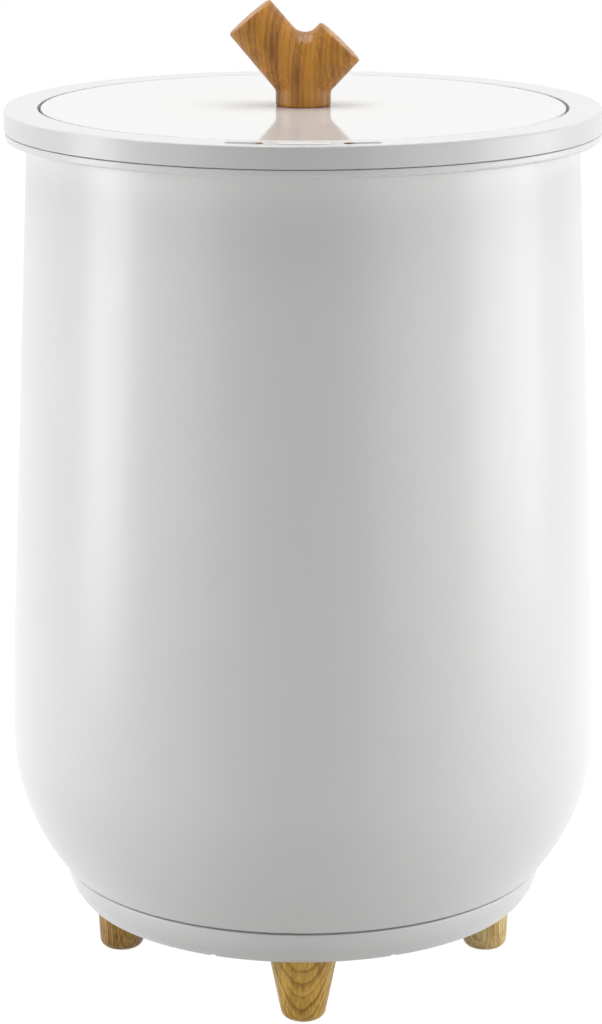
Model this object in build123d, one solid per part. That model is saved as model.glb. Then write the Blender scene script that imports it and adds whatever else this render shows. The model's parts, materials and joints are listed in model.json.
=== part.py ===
from build123d import *

import os
from math import acos, atan2, cos, degrees, hypot, radians, sin, sqrt, tan

# Towel warmer bucket: a heated aluminium pot in a white plastic bucket, with a lift-off lid.
#
# Millimetres. +Z is up, the floor is at height 0, the Z axis is the axis of the bucket,
# and the front, where the timer button is, faces -Y.
# Corners of turned pieces are (radius, height) or (radius, height, rounding).

os.makedirs("parts", exist_ok=True)

FRONT, REAR = 270, 90  # angles about the Z axis

# ---------------------------------------------------------------- driving sizes
# The bucket's side, from the top down: a straight cone, a long arc, the belly, a toe arc.
lid_level = 462.8  # top of the control ring and of the closed lid
belly_radius = 155.8
belly_lift = 72.0  # from the base's top up to the belly
neck_setback = 13.2  # from the belly in to the bucket's top edge
side_arc_radius = 1316.0
toe_step = 1.1  # from the base's edge out to the bucket's bottom edge
shell_wall = 2.5
shell_edge_round = 0.6
shell_flange_width = 6.0  # from the base screws' circle in to the shell's bottom opening
seam_gap = 1.6  # shadow line between the shell and the base

# Base
base_setback = 27.2  # from the belly in to the base's edge
base_floor_level = 39.2  # underside of the base
base_height = 17.6
base_arc_radius = 24.0
base_wall = 2.4
base_plate = 2.6
base_edge_round = 0.8
base_screw_setback = 16.6  # from the base's edge to its screws
base_boss_radius = 5.6
lip_clearance = 0.4
lip_step = 0.5  # how far the locating lip stays below the shell flange's top
drip_notch_angle = 22.5  # either side of the front and rear feet
drip_notch_width, drip_notch_depth = 3.2, 1.0

# Control ring and neck frame
rim_overhang = 11.5  # from the bucket's top edge out to the ring's side
ring_skin = 2.4
ring_wall = 2.2
ring_edge_round = 1.0
ring_boss_radius = 4.0
ring_shadow_gap = 0.4  # shadow line between the ring and the neck frame
small_edge_round = 0.4
frame_plate = 4.0
frame_edge_round = 1.6
frame_setback = 0.3  # how far the neck frame stays inside the ring's side
frame_rib_depth = 8.0
frame_rib_wall = 2.2
frame_rib_clearance = 0.5
lid_gap = 1.5  # the dark circle around the lid

# Heated pot and what is wrapped around it
pot_setback = 15.6  # from the bucket's neck in to the pot
pot_sheet = 0.8
pot_corner = 10.0
pot_neck_round = 1.2
pot_hole_clearance = 2.0
gasket_thickness = 0.6
gasket_setback = 0.4
foil_lift = 36.0  # from the pot's floor up to the heater foil
foil_height, foil_thickness = 210.0, 0.5
heating_wire_diameter = 2.4
heating_runs = 9
heating_pitch = 22.0
heating_gap_angle = 26.0  # the part of the pot's rear that the runs leave free
lead_spacing = 12.0
lead_bend = 6.0
wrap_clearance = 0.1
sleeve_thickness = 4.5
sleeve_drop = 12.9  # from the neck frame down to the sleeve
sleeve_clearance = 0.6

# Cradle under the pot
cradle_height = 11.8
cradle_setback = 4.6  # from the base's edge in to the cradle's
cradle_wall_step = 3.5  # from the shell's bottom opening out to the cradle's wall
cradle_thickness = 2.5
cradle_window_width, cradle_window_height = 46.0, 5.0
lead_drop = 5.0  # from the pot's floor down to the wires that pass under it

# Lid
lid_skin = 2.2
lid_skirt_wall = 2.2
lid_edge_round = 0.8
lid_boss_radius = 3.2
lid_skirt_lap = 0.2
tray_plate = 2.4
tray_wall = 2.4
tray_plug_clearance = 5.2
tray_plug_depth = 12.0
tray_floor = 2.0
tray_corner = 4.0
seal_height = 2.2
seal_width = 4.4
seal_tongue = 1.4
seal_tongue_width = 2.0
seal_edge_round = 0.6
lid_screw_count = 6
foam_clearance = 0.3
foam_lap = 0.6  # how far the foam rises past the handle's washer
foam_hole_clearance = 3.0
handle_boss_radius = 10.0
handle_boss_depth = 4.2

# Wooden handle: a round stem that forks into two round branches
stem_radius = 14.2
fork_height = 13.0  # where the three axes meet, above the lid
left_branch_length, left_branch_end_radius, left_branch_rise = 42.6, 13.7, 49.4
right_branch_length, right_branch_end_radius, right_branch_rise = 27.6, 14.0, 46.2
fork_fillet = 8.6
web_radius = 11.5
handle_edge_round = 0.8

# Wooden feet
foot_count = 4
foot_setback = 33.8  # from the base's edge in to the feet's screws
foot_splay = 5.8
foot_top_radius = 19.0
foot_bottom_radius = 10.9
foot_bottom_round = 5.2
pad_radius = 5.0
pad_thickness = 1.8
pad_stand_out = 0.8

# Button and indicator windows, in the control ring's top
button_length, button_width = 26.0, 8.6
button_stand_out = 0.8
button_flange = 1.0  # how far the flange reaches past the button
button_flange_thickness = 1.3
button_flange_clearance = 1.15  # from the flange to the ring's walls
button_clearance = 0.2
button_top_clearance = 0.3  # between the flange and the ring's skin
button_travel = 0.5
button_edge_round = 0.7
window_length, window_width, window_thickness = 18.5, 6.0, 1.4
window_angle = 11.2  # from the front to a window's middle
window_clearance = 0.15
led_radius, led_flange_radius, led_flange_height = 1.5, 1.9, 1.0
led_spread = 1.9  # angle from a window's middle to its lamps
led_clearance = 0.3  # below the window
board_thickness = 1.2
board_side_clearance = 1.2
board_half_angle = 17.5
board_screw_angle = 15.7
board_boss_radius = 2.5
board_drop = 5.8  # from the ring's skin down to the board
board_head_clearance = 1.0  # from the neck frame up to the board's screws
switch_size, switch_height = 6.0, 3.2
plunger_radius, plunger_lift = 1.7, 1.8
plunger_clearance = 0.1

# Flat cable from the control board to the power board
cable_width, cable_thickness = 8.0, 1.0
cable_groove = 2.0
cable_clearance = 0.5
cable_fold, cable_bend = 0.6, 12.0
plug_length, plug_height, plug_wall = 5.0, 8.0, 1.5

# Fasteners and running clearances
thread_clearance = 0.05
hole_clearance = 0.2
hole_end_gap = 0.6  # from a screw's tip to the end of its hole
cross_recess_depth = 0.8
ring_screw_radius, ring_screw_head_radius = 1.45, 3.0
ring_screw_count = 4
ring_pilot_skin = 1.2
base_screw_radius, base_screw_head_radius = 1.9, 3.5
base_screw_head_height = 2.6
base_screw_seat = 5.6  # from the base's underside up to the screw heads' seats
base_screw_count = 4
lid_screw_radius, lid_screw_head_radius = 1.5, 2.8
large_screw_radius, large_screw_head_radius = 2.5, 4.5
large_screw_head_height, large_screw_head_round = 3.0, 1.0
small_screw_radius, small_screw_head_radius, small_screw_head_height = 1.0, 1.9, 1.2
insert_radius, insert_length = 4.0, 12.0
insert_hole_depth = 1.5  # past the insert
handle_insert_sink, foot_insert_sink = 0.8, 2.0
washer_radius, washer_thickness = 7.5, 1.2

# Mains inlet in the rear of the base
inlet_pad_radius = 7.5
inlet_pad_stand_out = 0.3
inlet_pad_length = 8.0
bush_bore_radius = 3.6
bush_body_radius = 5.4
bush_clearance = 0.1
bush_flange_radius = 7.0
bush_flange_thickness = 1.8
bush_edge_round = 0.7
bush_body_length = 12.4

# Power board in the base
power_board_length, power_board_width, power_board_thickness = 100.0, 64.0, 1.6
power_board_y = 8.0
power_board_lift = 6.0
power_board_inset = 6.0
board_post_radius = 3.2
board_screw_radius, board_screw_head_radius, board_screw_head_height = 1.4, 2.7, 2.0

# What stands on the power board: length, width, height, x, y
relay_block = (19.0, 15.5, 15.0, -26.0, 24.0)
core_block = (22.0, 8.0, 16.0, -22.0, -6.0)
bobbin_block = (14.0, 18.0, 13.0, -22.0, -6.0)
capacitor_block = (18.0, 8.5, 14.0, 14.0, 6.0)
block_round = 0.8
terminal_length, terminal_width, terminal_height = 30.0, 11.0, 12.0
terminal_x, terminal_y = 20.0, 30.0
glass_radius, glass_length = 2.3, 20.0
glass_cap_sheet, glass_cap_length = 0.3, 5.0
glass_x, glass_y, glass_lift = 20.0, -12.0, 5.0
glass_clip_width, glass_clip_length, glass_clip_wrap = 6.7, 2.8, 1.0

# Thermostat and thermal cut-out, under the pot
under_pot_setback = 38.0  # from the shell's bottom opening in to both
under_pot_angle = 42.0  # either side of the front
thermostat_radius, thermostat_height = 7.7, 8.0
thermostat_flange_radius, thermostat_flange = 9.5, 1.0
tab_spacing, tab_width, tab_thickness, tab_length = 8.0, 6.3, 0.8, 7.0
strap_thickness, strap_width, strap_length = 0.8, 23.0, 40.0
strap_step = 1.5  # from the thermostat's flange to the strap's bend
fuse_radius, fuse_length = 2.0, 11.0
fuse_leg_radius, fuse_leg_length = 0.5, 8.0
clip_sheet, clip_width, clip_ear, clip_clearance = 0.6, 7.0, 7.0, 0.1

# ---------------------------------------------------------------- derived sizes
neck_radius = belly_radius - neck_setback
rim_radius = neck_radius + rim_overhang
base_radius = belly_radius - base_setback
toe_radius = base_radius + toe_step
ring_width = button_width + 2 * (button_flange + button_flange_clearance + ring_wall)

skin_bottom = lid_level - ring_skin
board_top = skin_bottom - board_drop
board_bottom = board_top - board_thickness
frame_top = board_bottom - small_screw_head_height - board_head_clearance
ring_bottom = frame_top + ring_shadow_gap
neck_level = frame_top - frame_plate
frame_radius = rim_radius - frame_setback
ring_opening_radius = rim_radius - ring_width
ring_inner_wall_radius = ring_opening_radius + ring_wall
ring_outer_wall_radius = rim_radius - ring_wall
ring_middle_radius = (ring_inner_wall_radius + ring_outer_wall_radius) / 2
lid_radius = ring_opening_radius - lid_gap

base_top = base_floor_level + base_height
toe_level = base_top + seam_gap
belly_level = base_top + belly_lift
shell_floor_top = toe_level + shell_wall
base_floor_top = base_floor_level + base_plate
base_screw_circle = base_radius - base_screw_setback
shell_opening_radius = base_screw_circle - shell_flange_width
foot_top_circle = base_radius - foot_setback
foot_bottom_circle = foot_top_circle + foot_splay

pot_radius = neck_radius - pot_setback
pot_bore_radius = pot_radius - pot_sheet
frame_opening_radius = pot_radius + pot_hole_clearance
pot_flange_radius = ring_opening_radius - gasket_setback
pot_flange_bottom = frame_top + gasket_thickness
pot_flange_top = pot_flange_bottom + pot_sheet
pot_underside = shell_floor_top + cradle_height
pot_floor_level = pot_underside + pot_sheet
lead_level = pot_underside - lead_drop

tray_plug_radius = pot_bore_radius - tray_plug_clearance
tray_bottom = pot_flange_top + seal_height
tray_top = tray_bottom + tray_plate
tray_plug_bottom = tray_bottom - tray_plug_depth
seal_middle_radius = (pot_bore_radius + pot_flange_radius) / 2
lid_screw_circle = (tray_plug_radius + seal_middle_radius - seal_width / 2) / 2
lid_skin_bottom = lid_level - lid_skin

power_board_bottom = base_floor_top + power_board_lift
power_board_top = power_board_bottom + power_board_thickness
terminal_top = power_board_top + terminal_height

# ---------------------------------------------------------------- helpers
UPRIGHT = (Align.CENTER, Align.CENTER, Align.MIN)
SPARE = 1.0  # how far a cut runs past the faces that it opens


def outline(*corners):
    """A closed flat face from (x, y) or (x, y, rounding) corners."""
    points = [corner[:2] for corner in corners]
    roundings = [corner[2] if len(corner) > 2 else 0 for corner in corners]
    return make_face(FilletPolyline(*points, radius=roundings, close=True))


def turned(*corners, arc=360, start=0):
    """A solid turned about the Z axis, all the way round or over part of a turn."""
    return Rot(0, 0, start) * revolve(Plane.XZ * outline(*corners), Axis.Z, arc)


def tube(inner, outer, low, high, arc=360, start=0):
    """A ring about the Z axis between two radii and two heights."""
    return turned((inner, low), (outer, low), (outer, high), (inner, high), arc=arc, start=start)


def peg(radius, low, high, x=0.0, y=0.0):
    """An upright cylinder between two heights."""
    return Pos(x, y, low) * Cylinder(radius, high - low, align=UPRIGHT)


def block(length, width, low, high, x=0.0, y=0.0):
    """An upright block between two heights."""
    return Pos(x, y, low) * Box(length, width, high - low, align=UPRIGHT)


def polar(radius, angle):
    """The point at that radius and angle about the Z axis."""
    return radius * cos(radians(angle)), radius * sin(radians(angle))


def spread(piece, count, radius):
    """Copies of a piece on a circle, each turned with its place."""
    return [place * piece for place in PolarLocations(radius, count)]


def group(pieces):
    """Separate solids in one node."""
    return Part() + list(pieces)


def countersunk_screw(radius, head_radius, low, high):
    """A screw put in from below, with a cross recess in its conical head."""
    sink = head_radius - radius
    screw = turned((0, low), (head_radius, low), (radius, low + sink), (radius, high), (0, high))
    return screw - cross_recess(head_radius, low)


def cross_recess(head_radius, low):
    """The cut for a screwdriver in a head that faces down."""
    long, short = 1.1 * head_radius, 0.24 * head_radius
    slots = block(long, short, low - SPARE, low + cross_recess_depth)
    return slots + block(short, long, low - SPARE, low + cross_recess_depth)


def countersink(radius, head_radius, low, high):
    """The hole for a countersunk screw that is put in from below."""
    bore, mouth = radius + hole_clearance, head_radius + hole_clearance
    sink = head_radius - radius
    return turned(
        (0, low - SPARE),
        (mouth, low - SPARE),
        (mouth, low),
        (bore, low + sink),
        (bore, high + SPARE),
        (0, high + SPARE),
    )


def bent_wire(points, radius, bend):
    """A round wire along straight runs joined by tangent arcs."""
    points = [Vector(*point) for point in points]
    runs, last = [], points[0]
    for before, corner, after in zip(points, points[1:], points[2:]):
        into, out = (corner - before).normalized(), (after - corner).normalized()
        half_turn = radians(into.get_angle(out)) / 2
        reach = bend * tan(half_turn)
        start, end = corner - into * reach, corner + out * reach
        inward = (out - into).normalized()
        middle = corner + inward * (bend / cos(half_turn) - bend)
        runs += [Line(last, start), ThreePointArc(start, middle, end)]
        last = end
    runs.append(Line(last, points[-1]))
    return sweep(Plane(points[0], z_dir=points[1] - points[0]) * Circle(radius), Wire(runs))


def circles_at(solid, radius, height):
    """A turned solid's circular edges of that radius at that height."""
    return [
        edge
        for edge in solid.edges().filter_by(GeomType.CIRCLE)
        if abs(edge.radius - radius) < 0.01 and abs(edge.arc_center.Z - height) < 0.01
    ]


# ---------------------------------------------------------------- bucket side
toe_width, toe_height = belly_radius - toe_radius, belly_level - toe_level
toe_arc_radius = (toe_width**2 + toe_height**2) / (2 * toe_width)
side_centre = belly_radius - side_arc_radius
toe_centre = belly_radius - toe_arc_radius
neck_reach = hypot(neck_radius - side_centre, neck_level - belly_level)
draft = atan2(neck_level - belly_level, neck_radius - side_centre) - acos(side_arc_radius / neck_reach)


def side_radius(height, inset=0.0):
    """The bucket side's radius at a height, or that of a face inset into its wall."""
    arc = side_arc_radius - inset
    joint_radius, joint_level = side_centre + arc * cos(draft), belly_level + arc * sin(draft)
    if height >= joint_level:
        return joint_radius - (height - joint_level) * tan(draft)
    if height >= belly_level:
        return side_centre + sqrt(arc**2 - (height - belly_level) ** 2)
    return toe_centre + sqrt((toe_arc_radius - inset) ** 2 - (belly_level - height) ** 2)


def side_edges(high, low, inset=0.0):
    """The bucket side's outline between two heights: a line and two arcs."""
    joint = belly_level + (side_arc_radius - inset) * sin(draft)

    def at(height):
        return side_radius(height, inset), height

    return [
        Line(at(high), at(joint)),
        ThreePointArc(at(joint), at((joint + belly_level) / 2), at(belly_level)),
        ThreePointArc(at(belly_level), at((belly_level + low) / 2), at(low)),
    ]


# ---------------------------------------------------------------- bucket and neck
base_screw_places = PolarLocations(base_screw_circle, base_screw_count, 45)
ring_screw_places = PolarLocations(ring_middle_radius, ring_screw_count, 45)


def make_outer_shell():
    """The bucket's side, with a flat flange turned in at its bottom."""
    inner_low = side_radius(shell_floor_top, shell_wall)
    edges = side_edges(neck_level, toe_level) + side_edges(neck_level, shell_floor_top, shell_wall)
    edges += [
        Line((side_radius(neck_level), neck_level), (side_radius(neck_level, shell_wall), neck_level)),
        Line((side_radius(toe_level), toe_level), (shell_opening_radius, toe_level)),
        Line((shell_opening_radius, toe_level), (shell_opening_radius, shell_floor_top)),
        Line((shell_opening_radius, shell_floor_top), (inner_low, shell_floor_top)),
    ]
    shell = revolve(Plane.XZ * make_face(edges), Axis.Z)
    shell = fillet(circles_at(shell, side_radius(toe_level), toe_level), shell_edge_round)
    hole = peg(base_screw_radius + hole_clearance, toe_level - SPARE, shell_floor_top + SPARE)
    return shell - [place * hole for place in base_screw_places]


def make_neck_frame():
    """The plate that the pot hangs in. A rib under it centres the bucket's top edge."""
    rib_outer = side_radius(neck_level, shell_wall) - frame_rib_clearance
    rib_inner = rib_outer - frame_rib_wall
    rib_bottom = neck_level - frame_rib_depth
    frame = turned(
        (frame_opening_radius, neck_level),
        (rib_inner, neck_level),
        (rib_inner, rib_bottom),
        (rib_outer, rib_bottom),
        (rib_outer, neck_level),
        (frame_radius, neck_level, frame_edge_round),
        (frame_radius, frame_top, small_edge_round),
        (frame_opening_radius, frame_top),
    )
    hole = countersink(ring_screw_radius, ring_screw_head_radius, neck_level, frame_top)
    frame -= [place * hole for place in ring_screw_places]
    return frame - make_cable_cut()


def make_cable_cut():
    """Slot through the neck frame for the flat cable, and a groove to it from the board."""
    width = cable_width + 2 * cable_clearance
    inner, outer = cable_radius - cable_thickness, cable_radius + cable_thickness
    slot_y = -(inner + outer) / 2
    slot_bottom = neck_level - frame_rib_depth - SPARE
    slot = block(width, outer - inner, slot_bottom, frame_top + SPARE, y=slot_y)
    groove_end = ring_middle_radius + cable_thickness
    groove_y = -(inner + groove_end) / 2
    return slot + block(width, groove_end - inner, frame_top - cable_groove, frame_top + SPARE, y=groove_y)


def make_top_ring():
    """The control ring: a hollow ring that stands on the neck frame."""
    ring = turned(
        (ring_opening_radius, frame_top),
        (ring_inner_wall_radius, frame_top),
        (ring_inner_wall_radius, skin_bottom),
        (ring_outer_wall_radius, skin_bottom),
        (ring_outer_wall_radius, ring_bottom),
        (rim_radius, ring_bottom, small_edge_round),
        (rim_radius, lid_level, ring_edge_round),
        (ring_opening_radius, lid_level, small_edge_round),
    )
    ring += [place * peg(ring_boss_radius, frame_top, skin_bottom) for place in ring_screw_places]
    pilot = peg(ring_screw_radius + thread_clearance, frame_top - SPARE, skin_bottom - ring_pilot_skin)
    ring -= [place * pilot for place in ring_screw_places]
    for x, y in board_screw_points:
        ring += peg(board_boss_radius, board_top, skin_bottom, x, y)
        ring -= peg(small_screw_radius + thread_clearance, board_top - SPARE, board_pilot_top, x, y)
    ring -= windows(window_clearance, window_bottom, lid_level + SPARE)
    for x, y in led_points:
        ring -= peg(led_radius + hole_clearance, skin_bottom - SPARE, lid_level, x, y)
    hole = SlotOverall(button_length + 2 * button_clearance, button_width + 2 * button_clearance)
    return ring - Pos(0, -ring_middle_radius, skin_bottom - SPARE) * extrude(hole, ring_skin + 2 * SPARE)


def make_ring_screws():
    """Countersunk screws that hold the ring down, put in from under the rim."""
    tip = skin_bottom - ring_pilot_skin - hole_end_gap
    screw = countersunk_screw(ring_screw_radius, ring_screw_head_radius, neck_level, tip)
    return group(place * screw for place in ring_screw_places)


# ---------------------------------------------------------------- controls
window_bottom = lid_level - window_thickness
window_angles = [FRONT - window_angle, FRONT + window_angle]
led_angles = [angle + step for angle in window_angles for step in (-led_spread, led_spread)]
led_points = [polar(ring_middle_radius, angle) for angle in led_angles]
board_screw_points = [polar(ring_middle_radius, FRONT + side * board_screw_angle) for side in (-1, 1)]
board_pilot_top = (skin_bottom + window_bottom) / 2
flange_top = skin_bottom - button_top_clearance
plunger_top = flange_top - button_flange_thickness
plunger_bottom = board_top + plunger_lift


def windows(clearance, low, high):
    """The two indicator windows: curved slots in the ring's top face."""
    turn = degrees((window_length - window_width) / ring_middle_radius)
    bars = []
    for angle in window_angles:
        middle_line = CenterArc((0, 0), ring_middle_radius, angle - turn / 2, turn)
        bars.append(Pos(0, 0, low) * extrude(SlotArc(middle_line, window_width + 2 * clearance), high - low))
    return bars


def make_indicator_windows():
    return group(windows(0.0, window_bottom, lid_level))


def make_power_button():
    """The button's cap, with a flange that keeps it in the ring."""
    cap = extrude(SlotOverall(button_length, button_width), lid_level + button_stand_out - flange_top)
    cap = fillet(cap.edges().group_by(Axis.Z)[-1], button_edge_round)
    face = SlotOverall(button_length + 2 * button_flange, button_width + 2 * button_flange)
    flange = extrude(face, flange_top - plunger_top)
    return Pos(0, -ring_middle_radius) * (Pos(0, 0, flange_top) * cap + Pos(0, 0, plunger_top) * flange)


def make_switch_plunger():
    return peg(plunger_radius, plunger_bottom, plunger_top, y=-ring_middle_radius)


def make_tact_switch():
    """The push switch's housing, open in the middle for its plunger."""
    top = board_top + switch_height
    well_floor = plunger_bottom - button_travel - button_top_clearance
    housing = block(switch_size, switch_size, board_top, top, y=-ring_middle_radius)
    return housing - peg(plunger_radius + plunger_clearance, well_floor, top + SPARE, y=-ring_middle_radius)


def make_control_board():
    """A curved board under the ring's skin. It carries the switch and the lamps."""
    inner = ring_inner_wall_radius + board_side_clearance
    outer = ring_outer_wall_radius - board_side_clearance
    start = FRONT - board_half_angle
    board = tube(inner, outer, board_bottom, board_top, 2 * board_half_angle, start)
    for x, y in board_screw_points:
        board -= peg(small_screw_radius + hole_clearance, board_bottom - SPARE, board_top + SPARE, x, y)
    return board


def make_control_board_screws():
    screws = []
    for x, y in board_screw_points:
        head = peg(small_screw_head_radius, board_bottom - small_screw_head_height, board_bottom, x, y)
        screws.append(head + peg(small_screw_radius, board_bottom, board_pilot_top - hole_end_gap, x, y))
    return group(screws)


def make_indicator_leds():
    """Four lamps, two under each window."""
    shoulder = window_bottom - led_clearance - led_radius
    lamps = []
    for x, y in led_points:
        lamp = peg(led_radius, board_top, shoulder, x, y) + Pos(x, y, shoulder) * Sphere(led_radius)
        lamps.append(lamp + peg(led_flange_radius, board_top, board_top + led_flange_height, x, y))
    return group(lamps)


# ---------------------------------------------------------------- heated pot
foil_inner = pot_radius + wrap_clearance
foil_outer = foil_inner + foil_thickness
foil_bottom = pot_floor_level + foil_lift
foil_top = foil_bottom + foil_height
wire_radius = heating_wire_diameter / 2
wire_circle = foil_outer + wrap_clearance + wire_radius
sleeve_inner = wire_circle + wire_radius + sleeve_clearance
sleeve_outer = sleeve_inner + sleeve_thickness
heating_low = (foil_bottom + foil_top - (heating_runs - 1) * heating_pitch) / 2
heating_high = heating_low + (heating_runs - 1) * heating_pitch


def make_inner_pot():
    """The aluminium pot that the towels go into, hung by its flange."""
    return turned(
        (0, pot_underside),
        (pot_radius, pot_underside, pot_corner + pot_sheet),
        (pot_radius, pot_flange_bottom, pot_neck_round),
        (pot_flange_radius, pot_flange_bottom),
        (pot_flange_radius, pot_flange_top),
        (pot_bore_radius, pot_flange_top, pot_neck_round + pot_sheet),
        (pot_bore_radius, pot_floor_level, pot_corner),
        (0, pot_floor_level),
    )


def make_pot_gasket():
    """Silicone ring that keeps the hot flange off the neck frame."""
    return tube(frame_opening_radius + gasket_setback, pot_flange_radius, frame_top, pot_flange_bottom)


def make_heater_foil():
    return tube(foil_inner, foil_outer, foil_bottom, foil_top)


def make_heater_wire():
    """One heating wire, to and fro around the pot, with a half-turn bend after each run."""
    run_angle = 360 - heating_gap_angle
    start = REAR + heating_gap_angle / 2
    run = Rot(0, 0, start) * revolve(Plane.XZ * Pos(wire_circle, 0) * Circle(wire_radius), Axis.Z, run_angle)
    wire = Pos(0, 0, heating_low) * run
    for number in range(1, heating_runs):
        level = heating_low + number * heating_pitch
        wire += Pos(0, 0, level) * run
        at_far_end = number % 2 == 1
        angle = start + (run_angle if at_far_end else 0)
        below = Vector(*polar(wire_circle, angle), level - heating_pitch)
        along = Vector(*polar(1, angle + 90), 0)
        inward = Vector(*polar(-1, angle), 0)
        turn = Axis(below + Vector(0, 0, heating_pitch / 2), inward if at_far_end else -inward)
        wire += revolve(Plane(below, z_dir=along) * Circle(wire_radius), turn, -180)
    return wire


def make_heater_leads():
    """The two ends of the heating wire, taken down the pot's rear to the terminal block."""
    reach = wire_circle + wrap_clearance
    high_end_side = -1 if heating_runs % 2 else 1
    leads = []
    for level, side, drop_x in (
        (heating_low, 1, -lead_spacing / 2),
        (heating_high, high_end_side, lead_spacing / 2),
    ):
        angle = REAR + side * heating_gap_angle / 2
        begin = Vector(*polar(wire_circle, angle), level)
        into_gap = begin + Vector(*polar(lead_bend / 2, angle - side * 90), 0)
        drop_angle = degrees(acos(drop_x / reach))
        halfway = Vector(*polar(reach, (angle + drop_angle) / 2), level)
        above, below = [Vector(*polar(reach, drop_angle), height) for height in (level, lead_level)]
        over = Vector(terminal_x + drop_x, terminal_y, lead_level)
        route = [begin, into_gap, halfway, above, below, over, Vector(over.X, over.Y, terminal_top)]
        leads.append(bent_wire(route, wire_radius, lead_bend))
    return group(leads)


def make_insulation_sleeve():
    """Needled felt around the heater."""
    return tube(sleeve_inner, sleeve_outer, pot_floor_level + pot_corner, neck_level - sleeve_drop)


def make_pot_cradle():
    """Ring that stands on the bucket's bottom flange and carries the pot's floor."""
    wall_outer = shell_opening_radius + cradle_wall_step
    wall_inner = wall_outer - cradle_thickness
    foot_outer = base_radius - cradle_setback
    foot_top = shell_floor_top + cradle_thickness
    cradle = turned(
        (wall_inner, shell_floor_top),
        (foot_outer, shell_floor_top),
        (foot_outer, foot_top),
        (wall_outer, foot_top),
        (wall_outer, pot_underside),
        (wall_inner, pot_underside),
    )
    boss = peg(base_screw_radius + cradle_thickness, shell_floor_top, base_screw_tip + 2 * hole_end_gap)
    pilot = peg(base_screw_radius + thread_clearance, shell_floor_top - SPARE, pot_underside)
    cradle += [place * boss for place in base_screw_places]
    cradle -= [place * pilot for place in base_screw_places]
    window_low, window_high = lead_level - cradle_window_height / 2, lead_level + cradle_window_height / 2
    for y in (-wall_outer, wall_outer):
        cradle -= block(cradle_window_width, 8 * cradle_thickness, window_low, window_high, y=y)
    return cradle


# ---------------------------------------------------------------- under the pot
under_pot_circle = shell_opening_radius - under_pot_setback
thermostat_x, thermostat_y = polar(under_pot_circle, FRONT - under_pot_angle)
fuse_x, fuse_y = polar(under_pot_circle, FRONT + under_pot_angle)
fuse_level = pot_underside - fuse_radius - clip_clearance


def make_thermostat():
    """Disc thermostat held against the pot's floor, with two tab terminals."""
    flange_bottom = pot_underside - thermostat_flange
    body_bottom = flange_bottom - thermostat_height
    thermostat = peg(thermostat_flange_radius, flange_bottom, pot_underside)
    thermostat += peg(thermostat_radius, body_bottom, flange_bottom)
    for x in (-tab_spacing / 2, tab_spacing / 2):
        thermostat += block(tab_thickness, tab_width, body_bottom - tab_length, body_bottom, x)
    return Pos(thermostat_x, thermostat_y) * thermostat


def make_thermostat_strap():
    """Sheet strap under the thermostat's flange, spot welded to the pot at both ends."""
    flange_bottom = pot_underside - thermostat_flange
    middle = 2 * (thermostat_flange_radius + strap_step)
    ends_top, middle_top = pot_underside, flange_bottom
    strap = block(strap_length, strap_width, ends_top - strap_thickness, ends_top)
    strap -= block(middle, strap_width + 2 * SPARE, ends_top - strap_thickness - SPARE, ends_top + SPARE)
    strap += block(middle, strap_width, middle_top - strap_thickness, middle_top)
    for x in (-middle / 2, middle / 2):
        strap += block(strap_thickness, strap_width, middle_top - strap_thickness, ends_top, x)
    hole = peg(thermostat_radius + hole_clearance, middle_top - strap_thickness - SPARE, middle_top + SPARE)
    return Pos(thermostat_x, thermostat_y) * (strap - hole)


def make_thermal_fuse():
    """Thermal cut-out that lies against the pot's floor."""
    lying = Pos(fuse_x, fuse_y, fuse_level) * Rot(0, 90, 0)
    legs = Cylinder(fuse_leg_radius, fuse_length + 2 * fuse_leg_length)
    return lying * (Cylinder(fuse_radius, fuse_length) + legs)


def make_fuse_clip():
    """Sheet clip round the thermal cut-out, welded to the pot beside it."""
    inner = fuse_radius + clip_clearance
    outer = inner + clip_sheet
    ears = Pos(0, inner) * Rectangle(2 * (outer + clip_ear), clip_sheet, align=(Align.CENTER, Align.MAX))
    cheeks = Rectangle(2 * outer, inner, align=(Align.CENTER, Align.MIN))
    hollow = Circle(inner) + Rectangle(2 * inner, inner, align=(Align.CENTER, Align.MIN))
    bowl = Circle(outer) & Rectangle(2 * outer, outer, align=(Align.CENTER, Align.MAX))
    face = bowl + cheeks + ears - hollow
    return Pos(fuse_x, fuse_y, fuse_level) * extrude(Plane.YZ * face, clip_width / 2, both=True)


# ---------------------------------------------------------------- base
base_arc_centre = base_radius - base_arc_radius
lip_outer_radius = shell_opening_radius - lip_clearance
lip_inner_radius = lip_outer_radius - base_wall
screw_seat = base_floor_level + base_screw_seat
base_screw_tip = pot_underside - 3 * SPARE
inlet_level = (base_floor_level + base_top) / 2
inlet_pad_face = base_radius + inlet_pad_stand_out
board_posts = [
    (x, power_board_y + y)
    for x in (power_board_inset - power_board_length / 2, power_board_length / 2 - power_board_inset)
    for y in (power_board_inset - power_board_width / 2, power_board_width / 2 - power_board_inset)
]
TO_REAR = Rot(-90, 0, 0)


def base_side(height, inset=0.0):
    """Radius of the base's side at a height."""
    return base_arc_centre + sqrt((base_arc_radius - inset) ** 2 - (base_top - height) ** 2)


def base_side_arc(low, inset=0.0):
    middle = (base_top + low) / 2
    return ThreePointArc(*[(base_side(height, inset), height) for height in (base_top, middle, low)])


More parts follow.
